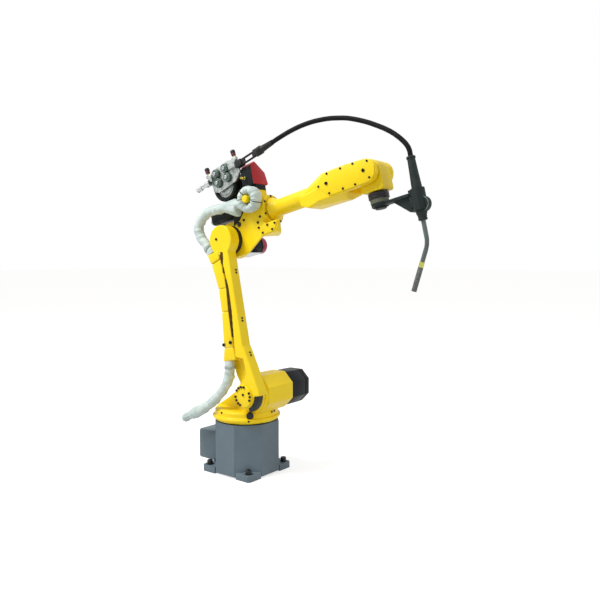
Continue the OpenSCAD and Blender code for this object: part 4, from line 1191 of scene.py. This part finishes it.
connector_shape = bmesh.new()
grip_rings = [(0.0, 0.269), (0.0205, 0.269)]
for k in range(5):
    start = 0.2715 + 0.004 * k
    grip_rings += [(0.021, start), (0.021, start + 0.0025), (0.0198, start + 0.003), (0.0198, start + 0.0036)]
grip_rings += [(0.0205, 0.2915), (0.016, 0.2935), (0.016, 0.311)]
for k in range(8):
    start = 0.313 + 0.0064 * k
    r = 0.0150 - 0.0003 * k
    grip_rings += [
        (r, start), (r, start + 0.0038), (r - 0.0014, start + 0.0044), (r - 0.0014, start + 0.0060)]
grip_rings += [(0.0124, 0.3655), (0.0, 0.3655)]
add_lathe(connector_shape, grip_rings, inlet_frame, segments=40)
connector = make_piece("cable_connector_skin", connector_shape, black_nylon, edge=0.0004)
fit(connector, "upper_arm", "cable_connector")

# Forearm. A yellow cast tube that turns on its own axis and widens into the fork of the wrist. Flat
# covers on both sides of the fork close the belt drives and are screwed down round their rims.

cast_copy("forearm_skin", "forearm_casting", "forearm", voxel=0.0032, rounds=8)
edged_copy("belt_covers", "side_covers", arm_yellow, "forearm", edge=0.0016)

belt_cover_face = 0.082
rim_head, pulley_head = 0.0052, 0.0078
rim_screws = (
    (0.645, 0.150), (0.721, 0.150), (0.788, 0.150), (0.861, 0.139), (0.588, 0.106), (0.640, 0.060),
    (0.716, 0.059), (0.782, 0.058), (0.858, 0.066))
pulley_screws = ((0.633, 0.108), (0.834, 0.105))
forearm_spots = []
for side in (-1, 1):
    out = Vector((0.0, side, 0.0))
    for head, screws in ((rim_head, rim_screws), (pulley_head, pulley_screws)):
        forearm_spots += [elbow_spot(a, u, side * belt_cover_face, head, out) for a, u in screws]
cap_screws("forearm_screws", "forearm", forearm_spots, height=0.45)

# Wrist. A small yellow casting that bends in the fork and holds the last drive, whose black flange
# carries the tool.

cast_copy("wrist_skin", "wrist_block", "wrist", voxel=0.0025, rounds=5)

in_wrist = Matrix.Translation(joint_at["j5_bend"]) @ Matrix.Rotation(-pitch, 4, "Y")
flange_black = painted_finish(
    "flange_black", colour(34, 28, 38), colour(26, 22, 30), colour(60, 54, 64),
    roughness=0.38, peel=0.05)
flange_shape = bmesh.new()
add_lathe(flange_shape, [
    (0.0, -0.1195), (0.045, -0.1195), (0.047, -0.118), (0.047, -0.112), (0.0455, -0.111), (0.0455, -0.108),
    (0.047, -0.107), (0.047, -0.095), (0.045, -0.0932), (0.0249, -0.0932), (0.0249, -0.060), (0.0, -0.060),
], in_wrist, segments=64)
tool_flange = make_piece("tool_flange_skin", flange_shape, flange_black, edge=0.0005)
fit(tool_flange, "tool", "tool_flange")

# Torch mount. An olive insulating disc, then a dark bracket with a gusset that reaches forward to the
# clamp. The clamp closes round the torch body, a round disc crosses it, and cap screws hold the mount.

mount_olive, tree, surface = two_tone(
    "mount_olive", colour(74, 78, 62), colour(94, 98, 78), roughness=0.55, scale=50.0)
raised(tree, surface, mottle(tree, 500.0, 2.0), strength=0.1, distance=0.0003)
edged_copy("torch_adaptor_skin", "torch_adaptor", mount_olive, "tool", edge=0.0016)

mount_grey = painted_finish(
    "mount_grey", colour(42, 51, 50), colour(35, 43, 42), colour(72, 82, 81),
    roughness=0.48, peel=0.12, gloss=0.12)
edged_copy("torch_bracket_skin", "torch_bracket", mount_grey, "tool", edge=0.0018)
edged_copy("torch_clamp_skin", "torch_clamp", mount_grey, "tool", edge=0.0025)

torch_reach = 0.187
disc_place = Matrix.Translation((torch_reach + 0.014, 0.0, -0.198))
disc_shape = bmesh.new()
for facing_turn in (-quarter_turn, quarter_turn):
    disc_face = in_wrist @ disc_place @ Matrix.Rotation(facing_turn, 4, "X")
    add_lathe(disc_shape, ring_section(0.0285, 0.0325, 0.0115, 0.0135), disc_face)
fit(make_piece("clamp_disc_rings", disc_shape, gear_steel, edge=0.0003), "tool")


def tool_spot(x, y, z, axis, head=0.0042):
    """A screw on the torch mount, from its place in the wrist's frame and the way it faces there."""
    return in_wrist @ Vector((x, y, z)), in_wrist.to_3x3() @ Vector(axis), head


tool_spots = [tool_spot(x, 0.0, -0.140, (0, 0, 1)) for x in (0.085, 0.120)]
tool_spots += [tool_spot(torch_reach - 0.0325, side * 0.016, z, (0, side, 0))
               for side in (-1, 1) for z in (-0.150, -0.205)]
tool_spots += [tool_spot(*on_circle(0.030, a), -0.154, (0, 0, -1)) for a in range(40, 340, 52)]
cap_screws("torch_mount_screws", "tool", tool_spots, height=0.8)

# Torch. A dark moulded handle with a lip at its top, wider towards the clamp; a bent steel
# swan neck; a brass band; and the rough grey gas nozzle, open at its tip.

handle_dark, tree, surface = two_tone(
    "handle_dark", colour(32, 40, 39), colour(44, 52, 51), roughness=0.52, scale=35.0, gloss=0.15)
raised(tree, surface, mottle(tree, 700.0, 2.0), strength=0.16, distance=0.0003)
handle_shape = bmesh.new()
add_lathe(handle_shape, [
    (0.0, 0.0135), (0.0115, 0.0135), (0.0180, 0.0135), (0.0200, 0.0115), (0.0200, 0.0045), (0.0185, 0.0030),
    (0.0172, 0.0010), (0.0176, -0.010), (0.0196, -0.060), (0.0228, -0.124), (0.0239, -0.128),
    (0.0239, -0.236), (0.0212, -0.240), (0.0200, -0.243), (0.0200, -0.250), (0.0186, -0.251),
    (0.0186, -0.255), (0.0200, -0.256), (0.0200, -0.262), (0.0180, -0.265), (0.0, -0.265),
], in_wrist @ Matrix.Translation((torch_reach, 0.0, 0.0)))
torch_handle = make_piece("torch_handle_skin", handle_shape, handle_dark, edge=0.0004)
fit(torch_handle, "tool", "torch_handle")

neck_grey = painted_finish(
    "neck_grey", colour(92, 102, 101), colour(78, 88, 87), colour(128, 136, 135),
    roughness=0.36, peel=0.06)
edged_copy("torch_neck_skin", "torch_neck", neck_grey, "tool", edge=0.0003, steps=1)
band_lime = brushed_finish("band_lime", colour(150, 150, 62), colour(206, 204, 112), roughness=0.4)
edged_copy("neck_band_skin", "neck_band", band_lime, "tool", edge=0.0010)
nozzle_grey, tree, surface = two_tone(
    "nozzle_grey", colour(62, 68, 66), colour(116, 121, 118), roughness=0.7, scale=240.0, detail=4.0)
raised(tree, surface, mottle(tree, 500.0, 4.0), strength=0.5, distance=0.0008)
edged_copy("gas_nozzle_skin", "gas_nozzle", nozzle_grey, "tool", edge=0.0008)
